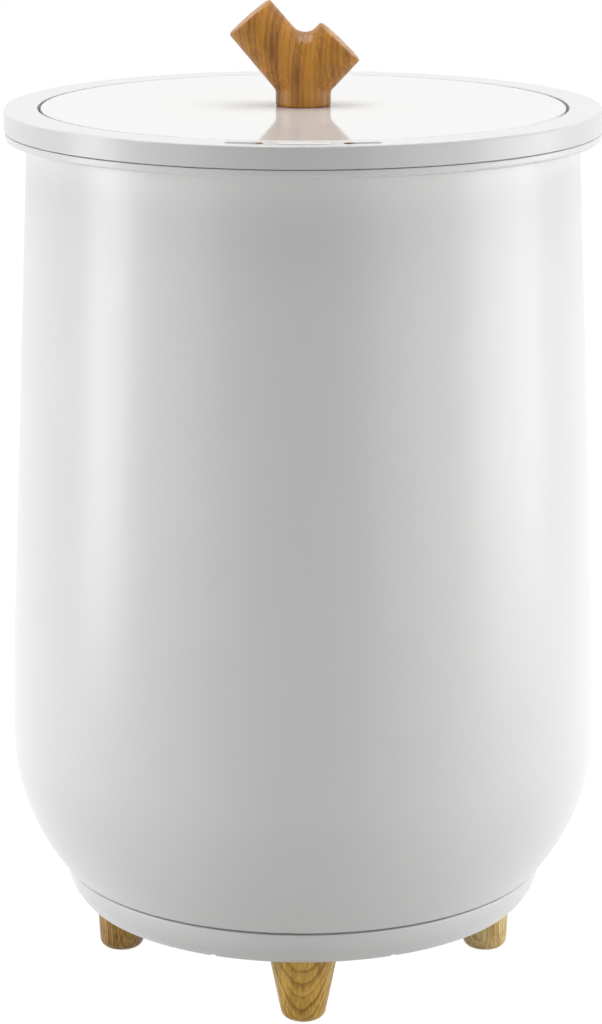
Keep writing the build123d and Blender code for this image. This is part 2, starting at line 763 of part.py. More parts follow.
def make_base_cover():
    """Dish under the bucket, with posts for its screws, the feet and the power board."""
    edges = [
        base_side_arc(base_floor_level),
        base_side_arc(base_floor_top, base_wall),
        Line((base_side(base_top), base_top), (base_side(base_top, base_wall), base_top)),
        Line((base_side(base_floor_level), base_floor_level), (0, base_floor_level)),
        Line((0, base_floor_level), (0, base_floor_top)),
        Line((0, base_floor_top), (base_side(base_floor_top, base_wall), base_floor_top)),
    ]
    cover = revolve(Plane.XZ * make_face(edges), Axis.Z)
    cover = fillet(circles_at(cover, base_radius, base_top), base_edge_round)
    cover += tube(lip_inner_radius, lip_outer_radius, base_floor_top - SPARE, shell_floor_top - lip_step)
    cover += [place * peg(base_boss_radius, base_floor_top - SPARE, toe_level) for place in base_screw_places]
    for x, y in board_posts:
        cover += peg(board_post_radius, base_floor_top - SPARE, power_board_bottom, x, y)
        cover -= peg(board_screw_radius + thread_clearance, base_floor_top, power_board_bottom + SPARE, x, y)
    pad_start = base_side(inlet_level) - inlet_pad_length
    cover += Pos(0, pad_start, inlet_level) * TO_REAR * peg(inlet_pad_radius, 0, inlet_pad_face - pad_start)
    bush_hole = peg(bush_body_radius + bush_clearance, 0, base_radius - lip_inner_radius + inlet_pad_length)
    cover -= Pos(0, lip_inner_radius - base_wall, inlet_level) * TO_REAR * bush_hole
    screw_hole = peg(base_screw_radius + hole_clearance, base_floor_level - SPARE, toe_level + SPARE)
    head_hole = peg(base_screw_head_radius + hole_clearance, base_floor_level - SPARE, screw_seat)
    cover -= [place * (screw_hole + head_hole) for place in base_screw_places]
    foot_hole = peg(large_screw_radius + hole_clearance, base_floor_level - SPARE, base_floor_top + SPARE)
    cover -= spread(foot_hole, foot_count, foot_top_circle)
    return cover - make_drip_notches()


def make_drip_notches():
    """Shallow cuts across the underside's edge, either side of the front and rear feet."""
    notch = Box(2 * base_wall, drip_notch_width, 2 * drip_notch_depth)
    edge = base_side(base_floor_level)
    angles = [middle + side * drip_notch_angle for middle in (FRONT, REAR) for side in (-1, 1)]
    return [Rot(0, 0, angle) * Pos(edge, 0, base_floor_level) * notch for angle in angles]


def make_base_screws():
    """Screws up through the base and the bucket's flange into the cradle."""
    head_bottom = screw_seat - base_screw_head_height
    screw = peg(base_screw_head_radius, head_bottom, screw_seat)
    screw += peg(base_screw_radius, screw_seat, base_screw_tip)
    screw -= cross_recess(base_screw_head_radius, head_bottom)
    return group(place * screw for place in base_screw_places)


def make_cord_bush():
    """Bush in the mains inlet, with a bore for the cord."""
    flange_face = inlet_pad_face + bush_flange_thickness
    body_end = inlet_pad_face - bush_body_length
    bush = peg(bush_flange_radius, inlet_pad_face, flange_face)
    bush = fillet(bush.edges().group_by(Axis.Z)[-1], bush_edge_round)
    bush += peg(bush_body_radius, body_end, inlet_pad_face)
    bush -= peg(bush_bore_radius, body_end - SPARE, flange_face + SPARE)
    return Pos(0, 0, inlet_level) * TO_REAR * bush


# ---------------------------------------------------------------- power board
cable_radius = sleeve_outer + cable_clearance + cable_thickness / 2
plug_y = power_board_y - power_board_width / 2 + plug_length / 2
cable_end_level = power_board_top + plug_height - cable_thickness - plug_wall


def on_board(length, width, height, x, y):
    """A block that stands on the power board."""
    return block(length, width, power_board_top, power_board_top + height, x, y)


def make_power_board():
    board = block(power_board_length, power_board_width, power_board_bottom, power_board_top, y=power_board_y)
    hole = peg(board_screw_radius + hole_clearance, power_board_bottom - SPARE, power_board_top + SPARE)
    return board - [Pos(x, y) * hole for x, y in board_posts]


def make_power_board_screws():
    screw = peg(board_screw_head_radius, power_board_top, power_board_top + board_screw_head_height)
    screw += peg(board_screw_radius, base_floor_top + hole_end_gap, power_board_top)
    return group(Pos(x, y) * screw for x, y in board_posts)


def make_relay():
    relay = on_board(*relay_block)
    return fillet(relay.edges().filter_by(Axis.Z), block_round)


def make_transformer():
    """Small supply transformer: a laminated core through a moulded bobbin."""
    return on_board(*core_block) + on_board(*bobbin_block)


def make_filter_capacitor():
    capacitor = on_board(*capacitor_block)
    return fillet(capacitor.edges().filter_by(Axis.Z), block_round)


def make_glass_fuse():
    """Mains fuse in its two clips."""
    lying = Pos(glass_x, glass_y, power_board_top + glass_lift) * Rot(0, 90, 0)
    cap = Cylinder(glass_radius + glass_cap_sheet, glass_cap_length)
    fuse = lying * Cylinder(glass_radius, glass_length)
    clip_height = glass_lift + glass_clip_wrap
    for shift in (-(glass_length - glass_cap_length) / 2, (glass_length - glass_cap_length) / 2):
        fuse += lying * Pos(0, 0, shift) * cap
        fuse += on_board(glass_clip_length, glass_clip_width, clip_height, glass_x + shift, glass_y)
    return fuse


def make_terminal_block():
    return on_board(terminal_length, terminal_width, terminal_height, terminal_x, terminal_y)


def make_control_cable():
    """Flat cable from the control board, through the neck frame, down to the power board."""
    groove_level = frame_top - cable_groove / 2
    inward = [-(shell_opening_radius - share * cable_bend) for share in (1.5, 4.0)]
    route = [
        (-ring_middle_radius, board_bottom),
        (-ring_middle_radius, groove_level),
        (-cable_radius, groove_level),
        (-cable_radius, lead_level),
        (inward[0], lead_level),
        (inward[1], cable_end_level),
        (plug_y, cable_end_level),
    ]
    line = FilletPolyline(*route, radius=[cable_fold, cable_fold, cable_bend, cable_bend, cable_bend])
    strip = extrude(Plane.YZ * trace(line, cable_thickness), cable_width / 2, both=True)
    return strip + on_board(cable_width + 2 * plug_wall, plug_length, plug_height, 0, plug_y)


# ---------------------------------------------------------------- feet
foot_bottom_level = pad_stand_out
foot_insert_top = base_floor_level - foot_insert_sink
foot_insert_bottom = foot_insert_top - insert_length


def make_foot():
    """A round tapered wooden foot that leans outwards, on the +X side."""
    height = base_floor_level - foot_bottom_level
    length = hypot(foot_splay, height)
    axis = Vector(-foot_splay, 0, height).normalized()
    spare = length / 6
    taper = (foot_top_radius - foot_bottom_radius) / length * spare
    start = Vector(foot_bottom_circle, 0, foot_bottom_level) - axis * spare
    cone = Cone(foot_bottom_radius - taper, foot_top_radius + taper, length + 2 * spare, align=UPRIGHT)
    width = 4 * foot_top_radius
    keep = block(width, width, foot_bottom_level, base_floor_level, foot_top_circle)
    foot = Plane(start, z_dir=axis) * cone & keep
    foot = fillet(foot.edges().group_by(Axis.Z)[0], foot_bottom_round)
    foot -= peg(pad_radius + thread_clearance, -SPARE, pad_thickness, foot_bottom_circle)
    hole_bottom, hole_top = foot_insert_bottom - insert_hole_depth, base_floor_level + SPARE
    return foot - peg(insert_radius + thread_clearance, hole_bottom, hole_top, foot_top_circle)


def make_foot_pads():
    return group(spread(peg(pad_radius, 0, pad_thickness), foot_count, foot_bottom_circle))


def make_foot_inserts():
    insert = tube(large_screw_radius + thread_clearance, insert_radius, foot_insert_bottom, foot_insert_top)
    return group(spread(insert, foot_count, foot_top_circle))


def make_foot_screws():
    """Pan-head screws down through the base into the feet."""
    screw = peg(large_screw_head_radius, base_floor_top, base_floor_top + large_screw_head_height)
    screw = fillet(screw.edges().group_by(Axis.Z)[-1], large_screw_head_round)
    screw += peg(large_screw_radius, foot_insert_bottom, base_floor_top)
    return group(spread(screw, foot_count, foot_top_circle))


# ---------------------------------------------------------------- lid
lid_skirt_inner = lid_radius - lid_skirt_wall
handle_washer_top = lid_skin_bottom - handle_boss_depth
handle_washer_bottom = handle_washer_top - washer_thickness
lid_screw_places = PolarLocations(lid_screw_circle, lid_screw_count, 180 / lid_screw_count)


def make_lid_cover():
    """Top of the lid: a flat disc with a skirt, and a boss under the handle."""
    skirt_bottom = tray_top - lid_skirt_lap
    cover = turned(
        (0, lid_skin_bottom),
        (lid_skirt_inner, lid_skin_bottom),
        (lid_skirt_inner, skirt_bottom),
        (lid_radius, skirt_bottom),
        (lid_radius, lid_level, lid_edge_round),
        (0, lid_level),
    )
    cover += peg(handle_boss_radius, handle_washer_top, lid_skin_bottom + SPARE)
    cover += [place * peg(lid_boss_radius, tray_top, lid_skin_bottom + SPARE) for place in lid_screw_places]
    pilot = peg(lid_screw_radius + thread_clearance, tray_top - SPARE, lid_skin_bottom)
    cover -= [place * pilot for place in lid_screw_places]
    return cover - peg(large_screw_radius + hole_clearance, handle_washer_top - SPARE, lid_level + SPARE)


def make_lid_tray():
    """Underside of the lid: a shallow pan that plugs into the pot."""
    inner = tray_plug_radius - tray_wall
    floor_top = tray_plug_bottom + tray_floor
    rim = lid_skirt_inner - lid_skirt_lap
    groove = seal_tongue_width / 2 + wrap_clearance
    groove_top = tray_bottom + seal_tongue + wrap_clearance
    tray = turned(
        (0, tray_plug_bottom),
        (tray_plug_radius, tray_plug_bottom, tray_corner),
        (tray_plug_radius, tray_bottom),
        (seal_middle_radius - groove, tray_bottom),
        (seal_middle_radius - groove, groove_top),
        (seal_middle_radius + groove, groove_top),
        (seal_middle_radius + groove, tray_bottom),
        (rim, tray_bottom),
        (rim, tray_top),
        (inner, tray_top),
        (inner, floor_top, tray_corner - tray_floor),
        (0, floor_top),
    )
    hole = countersink(lid_screw_radius, lid_screw_head_radius, tray_bottom, tray_top)
    return tray - [place * hole for place in lid_screw_places]


def make_lid_screws():
    tip = lid_skin_bottom - hole_end_gap
    screw = countersunk_screw(lid_screw_radius, lid_screw_head_radius, tray_bottom, tip)
    return group(place * screw for place in lid_screw_places)


def make_lid_seal():
    """Silicone seal that the lid rests on, with a tongue in the tray's groove."""
    inner, outer = seal_middle_radius - seal_width / 2, seal_middle_radius + seal_width / 2
    tongue = seal_tongue_width / 2
    return turned(
        (inner, pot_flange_top, seal_edge_round),
        (outer, pot_flange_top, seal_edge_round),
        (outer, tray_bottom),
        (seal_middle_radius + tongue, tray_bottom),
        (seal_middle_radius + tongue, tray_bottom + seal_tongue),
        (seal_middle_radius - tongue, tray_bottom + seal_tongue),
        (seal_middle_radius - tongue, tray_bottom),
        (inner, tray_bottom),
    )


def make_lid_foam():
    """Foam disc in the lid, with room in the middle for the handle's screw."""
    outer = tray_plug_radius - tray_wall - foam_clearance
    inner = max(washer_radius, handle_boss_radius) + foam_hole_clearance
    low, high = tray_plug_bottom + tray_floor, handle_washer_top + foam_lap
    rounding = tray_corner - tray_floor + foam_clearance
    return turned((inner, low), (outer, low, rounding), (outer, high), (inner, high))


# ---------------------------------------------------------------- handle
fork = Vector(0, 0, lid_level + fork_height)
left_arm = Vector(-cos(radians(left_branch_rise)), 0, sin(radians(left_branch_rise)))
right_arm = Vector(cos(radians(right_branch_rise)), 0, sin(radians(right_branch_rise)))


def make_handle():
    """Forked branch: a stem, a long left arm and a short right arm, all round."""
    handle = peg(stem_radius, lid_level, fork.Z)
    handle += Pos(*fork) * Sphere(stem_radius, arc_size1=0)
    for along, length, end_radius in (
        (left_arm, left_branch_length, left_branch_end_radius),
        (right_arm, right_branch_length, right_branch_end_radius),
    ):
        arm = Cone(stem_radius, end_radius, length, align=UPRIGHT)
        arm = fillet(arm.edges().group_by(Axis.Z)[-1], handle_edge_round)
        handle += Plane(fork, z_dir=along) * arm
    bore_top = lid_level + handle_insert_sink + insert_length + insert_hole_depth
    return handle + make_fork_web() - peg(insert_radius + thread_clearance, lid_level - SPARE, bore_top)


def make_fork_web():
    """Part of a torus that rounds the valley between the two arms."""
    half_angle = radians(left_arm.get_angle(right_arm)) / 2
    thinner_arm = min(left_branch_end_radius, right_branch_end_radius)
    between = (left_arm + right_arm).normalized()
    centre = fork + between * (fork_fillet + thinner_arm) / sin(half_angle)
    half_turn = 90 - degrees(half_angle)
    start = between.rotate(Axis.Y, -half_turn)
    middle = centre - start * (fork_fillet + web_radius)
    section = Plane(middle, z_dir=start.cross(Vector(0, 1, 0))) * Circle(web_radius)
    return revolve(section, Axis(centre, (0, 1, 0)), 2 * half_turn)


def make_handle_insert():
    low = lid_level + handle_insert_sink
    return tube(large_screw_radius + thread_clearance, insert_radius, low, low + insert_length)


def make_handle_washer():
    return tube(large_screw_radius + hole_clearance, washer_radius, handle_washer_bottom, handle_washer_top)


def make_handle_screw():
    """Screw up through the lid into the handle's insert."""
    head_bottom = handle_washer_bottom - large_screw_head_height
    head = peg(large_screw_head_radius, head_bottom, handle_washer_bottom)
    return head + peg(large_screw_radius, handle_washer_bottom, lid_level + insert_length)


# ---------------------------------------------------------------- all pieces

def main():
    pieces = {
        "outer_shell": make_outer_shell(),
        "neck_frame": make_neck_frame(),
        "top_ring": make_top_ring(),
        "ring_screws": make_ring_screws(),
        "indicator_windows": make_indicator_windows(),
        "indicator_leds": make_indicator_leds(),
        "power_button": make_power_button(),
        "switch_plunger": make_switch_plunger(),
        "tact_switch": make_tact_switch(),
        "control_board": make_control_board(),
        "control_board_screws": make_control_board_screws(),
        "control_cable": make_control_cable(),
        "inner_pot": make_inner_pot(),
        "pot_gasket": make_pot_gasket(),
        "heater_foil": make_heater_foil(),
        "heater_wire": make_heater_wire(),
        "heater_leads": make_heater_leads(),
        "insulation_sleeve": make_insulation_sleeve(),
        "pot_cradle": make_pot_cradle(),
        "thermostat": make_thermostat(),
        "thermostat_strap": make_thermostat_strap(),
        "thermal_fuse": make_thermal_fuse(),
        "fuse_clip": make_fuse_clip(),
        "base_cover": make_base_cover(),
        "base_screws": make_base_screws(),
        "cord_bush": make_cord_bush(),
        "power_board": make_power_board(),
        "power_board_screws": make_power_board_screws(),
        "relay": make_relay(),
        "transformer": make_transformer(),
        "filter_capacitor": make_filter_capacitor(),
        "glass_fuse": make_glass_fuse(),
        "terminal_block": make_terminal_block(),
        "foot_pads": make_foot_pads(),
        "foot_inserts": make_foot_inserts(),
        "foot_screws": make_foot_screws(),
        "lid_cover": make_lid_cover(),
        "lid_tray": make_lid_tray(),
        "lid_screws": make_lid_screws(),
        "lid_seal": make_lid_seal(),
        "lid_foam": make_lid_foam(),
        "handle": make_handle(),
        "handle_insert": make_handle_insert(),
        "handle_washer": make_handle_washer(),
        "handle_screw": make_handle_screw(),
    }
    feet = spread(make_foot(), foot_count, 0)
    pieces.update(zip(("right_foot", "rear_foot", "left_foot", "front_foot"), feet))
    for node, shape in pieces.items():
        export_step(shape, f"parts/{node}.step")


main()
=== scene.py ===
# %% [markdown]
# # A towel warmer bucket, from its frame to its finishes
#
# The object is a heated aluminium pot inside a white plastic bucket. It stands on four wooden
# feet, and its lid lifts off by a forked wooden handle. The frame already holds every piece at
# its real size and place. This notebook gives each piece its surface, makes the few pieces
# that deserve a finer mesh, and lights them like a product in a studio.

# %% Load the frame
import json
import math

import bmesh
import bpy
from mathutils import Matrix, Vector

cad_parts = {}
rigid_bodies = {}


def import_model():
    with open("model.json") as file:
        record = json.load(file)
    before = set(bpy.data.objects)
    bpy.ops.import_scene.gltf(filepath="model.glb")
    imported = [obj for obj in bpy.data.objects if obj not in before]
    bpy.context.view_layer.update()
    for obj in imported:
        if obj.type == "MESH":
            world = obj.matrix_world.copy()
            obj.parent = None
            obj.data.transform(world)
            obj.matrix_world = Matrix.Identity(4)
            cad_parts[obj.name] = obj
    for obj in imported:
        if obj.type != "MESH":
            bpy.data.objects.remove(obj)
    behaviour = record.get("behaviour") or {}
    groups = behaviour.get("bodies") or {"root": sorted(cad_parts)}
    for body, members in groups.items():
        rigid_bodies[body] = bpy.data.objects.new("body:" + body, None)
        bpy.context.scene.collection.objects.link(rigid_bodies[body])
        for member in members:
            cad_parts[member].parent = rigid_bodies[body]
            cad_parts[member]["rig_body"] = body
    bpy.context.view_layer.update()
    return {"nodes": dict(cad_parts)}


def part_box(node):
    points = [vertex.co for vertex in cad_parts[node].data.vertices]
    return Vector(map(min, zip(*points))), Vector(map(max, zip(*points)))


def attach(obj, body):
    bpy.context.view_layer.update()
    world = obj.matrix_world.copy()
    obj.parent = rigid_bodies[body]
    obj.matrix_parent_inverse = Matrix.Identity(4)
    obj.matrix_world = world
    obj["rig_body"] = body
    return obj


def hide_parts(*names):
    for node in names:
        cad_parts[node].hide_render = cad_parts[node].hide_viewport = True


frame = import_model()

nodes = frame["nodes"]

# %% [markdown]
# ## Units, colours and nodes
#
# Blender works in metres and the object is drawn in millimetres, so one constant turns one into
# the other. Colours are picked as sRGB hex codes, but a shader wants linear values, so one
# function turns them. Materials and geometry trees are long lists of nodes, so one more
# function adds a node, sets it up and links it.

# %% Units, colours and nodes
MM = 0.001


def colour(code):
    """The linear RGBA value of an sRGB hex code."""
    shares = [int(code[place:place + 2], 16) / 255 for place in (1, 3, 5)]
    return (*[((share + 0.055) / 1.055) ** 2.4 for share in shares], 1.0)


def add_node(tree, kind, inputs=None, **settings):
    """A new node. Each input is a value, the output that feeds it, or a list of such outputs."""
    node = tree.nodes.new(kind)
    for name, value in settings.items():
        setattr(node, name, value)
    for key, value in (inputs or {}).items():
        for source in value if isinstance(value, list) else [value]:
            if isinstance(source, bpy.types.NodeSocket):
                tree.links.new(source, node.inputs[key])
            else:
                node.inputs[key].default_value = source
    return node


print("white plastic in linear light:", [round(value, 3) for value in colour("#efefee")[:3]])

# %% [markdown]
# ## The camera
#
# A long lens from some way back keeps the bucket's sides nearly parallel, as in a catalogue. The
# camera stands above the lid and looks down a little, so that the lid shows as a thin ellipse.
# The frame is upright, so the sensor's 36 mm lie along its height.

# %% The camera
FRAME_HEIGHT, SENSOR = 1024, 36.0
FOCAL_PIXELS = 3293.6
CAMERA_BACK, CAMERA_UP, CAMERA_PITCH = 1.6977, 0.6772, 14.242
AXIS_RIGHT_PIXELS = 2.3  # the bucket's axis stands this far right of the frame's middle

camera = bpy.data.objects.new("Camera", bpy.data.cameras.new("Camera"))
camera.location = (0, -CAMERA_BACK, CAMERA_UP)
camera.rotation_euler = (math.radians(90 - CAMERA_PITCH), 0, 0)
camera.data.sensor_width = SENSOR
camera.data.lens = FOCAL_PIXELS * SENSOR / FRAME_HEIGHT
camera.data.shift_x = -AXIS_RIGHT_PIXELS / FRAME_HEIGHT
bpy.context.scene.collection.objects.link(camera)
bpy.context.scene.camera = camera
bpy.context.scene.view_settings.view_transform = "Standard"
print("lens", round(camera.data.lens, 1), "mm")

# %% [markdown]
# ## The studio
#
# Glossy white plastic is mostly seen by what it reflects, so the lamps are large soft boxes. One
# stands upright close to each side, where it draws a soft bright band down the bucket, and a
# weaker one in front of each carries that light round towards the middle. One more hangs above
# the lid. The world and the floor show plain white to the camera and in reflections, at a
# strength of 1, and light the bucket only as a grey room would. The floor adds its own diffuse
# light to that, so the shadow under the feet stays. A picture of a real studio, wrapped round the
# scene, would light it too, but lamps can be moved and turned down one by one.

# %% The white room
FLOOR_SIZE = 24.0


def background_ray(tree):
    """1 for a ray that shows the background: from the camera, off a gloss or through glass."""
    path = add_node(tree, "ShaderNodeLightPath")
    both = add_node(tree, "ShaderNodeMath", {
        0: path.outputs["Is Camera Ray"], 1: path.outputs["Is Glossy Ray"],
    }, operation="MAXIMUM")
    return add_node(tree, "ShaderNodeMath", {
        0: both.outputs[0], 1: path.outputs["Is Transmission Ray"],
    }, operation="MAXIMUM").outputs[0]


def make_world(room_grey, room_strength):
    """A dim grey room that looks plain white to the camera and in reflections."""
    world = bpy.data.worlds.new("Studio")
    world.use_nodes = True
    tree = world.node_tree
    tree.nodes.clear()
    room = add_node(tree, "ShaderNodeBackground", {"Color": room_grey, "Strength": room_strength})
    white = add_node(tree, "ShaderNodeBackground", {"Color": (1, 1, 1, 1), "Strength": 1.0})
    seen = add_node(tree, "ShaderNodeMixShader", {
        0: background_ray(tree), 1: room.outputs[0], 2: white.outputs[0],
    })
    add_node(tree, "ShaderNodeOutputWorld", {"Surface": seen.outputs[0]})
    bpy.context.scene.world = world


def make_floor(grey, glow):
    """A pale floor: a diffuse sheet that catches shadows, and a white glow in rays that see it."""
    bpy.ops.mesh.primitive_plane_add(size=FLOOR_SIZE)
    floor = bpy.context.object
    floor.name = "floor"
    material = bpy.data.materials.new("Pale floor")
    material.use_nodes = True
    tree = material.node_tree
    tree.nodes.clear()
    sheet = add_node(tree, "ShaderNodeBsdfDiffuse", {"Color": grey})
    strength = add_node(tree, "ShaderNodeMath", {
        0: background_ray(tree), 1: glow,
    }, operation="MULTIPLY")
    light = add_node(tree, "ShaderNodeEmission", {"Strength": strength.outputs[0]})
    both = add_node(tree, "ShaderNodeAddShader", {0: sheet.outputs[0], 1: light.outputs[0]})
    add_node(tree, "ShaderNodeOutputMaterial", {"Surface": both.outputs[0]})
    floor.data.materials.append(material)


make_world(room_grey=colour("#c8c8c8"), room_strength=0.22)
make_floor(grey=colour("#b8b8b8"), glow=0.94)
print("floor", FLOOR_SIZE, "m across")

# %% The lamps
BUCKET_MIDDLE = Vector((0, 0, 0.25))
LAMPS = {  # place, width and height in metres, and power in watts
    "Left box": ((-0.935, -0.19, 0.42), 0.36, 0.8, 4.0),
    "Left fill": ((-0.72, -0.64, 0.45), 0.55, 0.8, 1.0),
    "Right box": ((0.955, -0.1, 0.42), 0.7, 0.8, 4.8),
    "Right fill": ((0.62, -0.75, 0.45), 0.6, 0.8, 1.4),
    "Top box": ((0, 0.1, 1.9), 1.6, 1.2, 21.5),
}


def soft_box(name, place, width, height, watts):
    """A rectangular lamp at a place, turned to face the bucket's middle."""
    lamp = bpy.data.lights.new(name, "AREA")
    lamp.shape = "RECTANGLE"
    lamp.size, lamp.size_y, lamp.energy = width, height, watts
    stand = bpy.data.objects.new(name, lamp)
    stand.location = place
    stand.rotation_euler = (BUCKET_MIDDLE - Vector(place)).to_track_quat("-Z", "Y").to_euler()
    stand.visible_camera = False
    bpy.context.scene.collection.objects.link(stand)


for name, (place, width, height, watts) in LAMPS.items():
    soft_box(name, place, width, height, watts)

# %% [markdown]
# ## Moulded plastics
#
# Most of the visible surface is one material: ABS moulded against a polished steel tool. It
# gives the eye a soft gloss, with a very slow ripple where the melt cooled and a breath of
# handling marks that only the highlights show. The lid came from a brighter polished tool and
# mirrors its handle. All the moulded plastics and rubbers share one recipe: a slow cloud in the
# colour, finer marks in the gloss, and the tool's texture as a bump. Noise lies mostly between
# 0.3 and 0.7, so a Map Range spreads that part over the wanted values. A texture finer than
# about 0.4 mm would not show from the camera, so the finest ones are drawn at that size.

# %% Moulded plastics
NOISE_LOW, NOISE_HIGH = 0.3, 0.7
CLOUD_SIZE, MARK_SIZE = 45, 9  # mm, of the clouds in a colour and of the marks in its gloss


def new_material(name):
    """An empty material, its tree, and the place on the object in metres."""
    material = bpy.data.materials.new(name)
    material.use_nodes = True
    tree = material.node_tree
    tree.nodes.clear()
    return material, tree, add_node(tree, "ShaderNodeTexCoord").outputs["Object"]


def shaded(code, share):
    """A hex colour made darker or lighter in linear light."""
    return (*[value * share for value in colour(code)[:3]], 1.0)


def moulded(name, code, rough, grain, depth, ior, haze=0.04):
    """A moulded plastic or rubber. grain and depth are the size of its texture in mm."""
    material, tree, place = new_material(name)
    cloud = add_node(tree, "ShaderNodeTexNoise", {
        "Vector": place, "Scale": 1 / (CLOUD_SIZE * MM), "Detail": 4.0,
    }).outputs[0]
    tint = add_node(tree, "ShaderNodeMix", {
        0: cloud, 6: shaded(code, 0.96), 7: colour(code),
    }, data_type="RGBA").outputs[2]
    marks = add_node(tree, "ShaderNodeTexNoise", {
        "Vector": place, "Scale": 1 / (MARK_SIZE * MM), "Detail": 6.0,
    }).outputs[0]
    gloss = add_node(tree, "ShaderNodeMapRange", {
        "Value": marks, "From Min": NOISE_LOW, "From Max": NOISE_HIGH,
        "To Min": rough, "To Max": rough + haze,
    }).outputs[0]
    texture = add_node(tree, "ShaderNodeTexNoise", {
        "Vector": place, "Scale": 1 / (grain * MM), "Detail": 2.0,
    }).outputs[0]
    bump = add_node(tree, "ShaderNodeBump", {"Height": texture, "Distance": depth * MM})
    shader = add_node(tree, "ShaderNodeBsdfPrincipled", {
        "Base Color": tint, "Roughness": gloss, "IOR": ior, "Normal": bump.outputs[0],
    })
    add_node(tree, "ShaderNodeOutputMaterial", {"Surface": shader.outputs[0]})
    return material


print("noise is spread from", NOISE_LOW, "to", NOISE_HIGH)

# %% [markdown]
# ## The plastics and rubbers of each piece
#
# Each finish is filed under the name of its slot in the record, with the roughness and the index
# of refraction that are usual for that material. They could all be copied from one white plastic
# and recoloured, but then rubber would shine like the walls and foam like the cable.

# %% The plastics and rubbers of each piece
finishes = {
    # a soft gloss that spreads each lamp over a hand's width
    "white_abs": moulded("Polished ABS, white", "#efefee", 0.285, 60, 0.02, 1.54, haze=0.02),
    # a little waxy, and duller than the walls
    "white_pp": moulded("Polypropylene, natural white", "#e4e5e3", 0.34, 0.9, 0.02, 1.49),
    # a spark-eroded tool and glass fibres leave a dull black with a fine tooth
    "black_plastic": moulded("Glass-filled nylon, black", "#1b1c1e", 0.38, 0.5, 0.03, 1.53),
    # extruded smooth, with a low, rubbery shine
    "cable_pvc": moulded("Soft PVC, grey", "#8f9296", 0.42, 0.8, 0.02, 1.53),
    # a dry, milky skin
    "silicone": moulded("Silicone rubber, milky", "#c9cccd", 0.46, 0.7, 0.02, 1.41),
    # a strong red that hardly shines
    "heating_wire": moulded("Silicone sleeving, brick red", "#b0402f", 0.40, 0.5, 0.02, 1.41),
    # matt, so that the pads look dark and soft
    "rubber": moulded("Thermoplastic rubber, dark grey", "#3a3b3d", 0.62, 0.4, 0.05, 1.50),
    # pressed resin looks dense, is brown in strong light and has a hard shine
    "phenolic": moulded("Phenolic resin, brown-black", "#2a211c", 0.33, 0.6, 0.02, 1.60),
    # an even green with a slight shine
    "terminal_plastic": moulded("Polyamide, terminal green", "#3f7d58", 0.36, 0.6, 0.02, 1.53),
    # a bright, smooth yellow
    "film_capacitor": moulded("Epoxy-filled box, yellow", "#d8ae2c", 0.30, 0.8, 0.02, 1.55),
    # cut cells leave a matt, finely pitted face
    "pe_foam": moulded("Closed-cell polyethylene foam", "#dfe0dc", 0.80, 0.6, 0.25, 1.50),
}
# a mirror that shows the handle with a crisp edge
lid_gloss = moulded("Mirror-polished ABS, white", "#efefee", 0.05, 30, 0.004, 1.54, haze=0.015)
# the walls' plastic and gloss, with painted shade: its colour is made a shade greyer for the darker
# look the ring takes from the light
ring_abs_painted_darker = moulded("ABS, white, painted a shade darker", "#e7e7e6", 0.285, 60, 0.02, 1.54, haze=0.02)
print(len(finishes), "moulded finishes")

# %% [markdown]
# ## Lacquered ash
#
# The handle and the feet are hardwood, turned, sanded and lacquered. A tree grows in rings about
# its pith, so the grain is made the same way: rings about a line that lies well behind the
# piece and leans a little. Where a curved surface cuts them, they show as long streaks or as
# nested arches, and nothing has to be drawn. Slow noise bends the rings, noise on the distance
# from the pith gives fat and lean years, and finer noise drawn out along the grain gives fibres,
# streaks and pores. Real fibres and pores are a few tenths of a millimetre wide. Here they are
# about three times as wide, so that they show. The satin lacquer is a thin clear coat over them.
# A picture of wood could be wrapped round each piece, but it would not meet itself at the cut
# ends, where the same rings have to show as arcs.

# %% Where the rings of a piece lie
RING_PERIOD = 2 * math.pi / 20  # a ring wave of scale 1 repeats after this many units
BEND_SIZE = 14  # mm from one bend of the rings to the next
YEAR_CHANGE = 2.3  # rings from a fat year to a lean one


def ring_space(tree, place, pith, lean, sway):
    """Coordinates with the pith (mm) as their z, leaning by degrees, and swaying by sway mm."""
    turned = add_node(tree, "ShaderNodeMapping", {
        "Vector": place, "Location": tuple(value * MM for value in pith),
        "Rotation": tuple(math.radians(angle) for angle in lean),
    }, vector_type="TEXTURE").outputs[0]
    slow = add_node(tree, "ShaderNodeMapping", {"Vector": turned, "Scale": (1, 1, 0.25)})
    bend = add_node(tree, "ShaderNodeTexNoise", {
        "Vector": slow.outputs[0], "Scale": 1 / (BEND_SIZE * MM), "Detail": 2.0,
    })
    centred = add_node(tree, "ShaderNodeVectorMath", {
        0: bend.outputs["Color"], 1: (0.5, 0.5, 0.5),
    }, operation="SUBTRACT")
    return add_node(tree, "ShaderNodeVectorMath", {
        0: centred.outputs[0], 1: (2 * sway * MM, 2 * sway * MM, 0), 2: turned,
    }, operation="MULTIPLY_ADD").outputs[0]


def growth(tree, bent, ring):
    """The dark late wood of each ring, ring mm apart, and how fat or lean its year was."""
    rings = add_node(tree, "ShaderNodeTexWave", {
        "Vector": bent, "Scale": RING_PERIOD / (ring * MM), "Distortion": 0.6, "Detail": 2.0,
        "Detail Scale": 1.5,
    }, wave_type="RINGS", rings_direction="Z", wave_profile="SAW").outputs["Fac"]
    late = add_node(tree, "ShaderNodeMath", {0: rings, 1: 2.6}, operation="POWER").outputs[0]
    flat = add_node(tree, "ShaderNodeVectorMath", {0: bent, 1: (1, 1, 0)}, operation="MULTIPLY")
    reach = add_node(tree, "ShaderNodeVectorMath", {0: flat.outputs[0]}, operation="LENGTH")
    years = add_node(tree, "ShaderNodeTexNoise", {
        "W": reach.outputs["Value"], "Scale": 1 / (YEAR_CHANGE * ring * MM), "Detail": 1.0,
    }, noise_dimensions="1D").outputs[0]
    return late, years


print("rings bend every", BEND_SIZE, "mm")

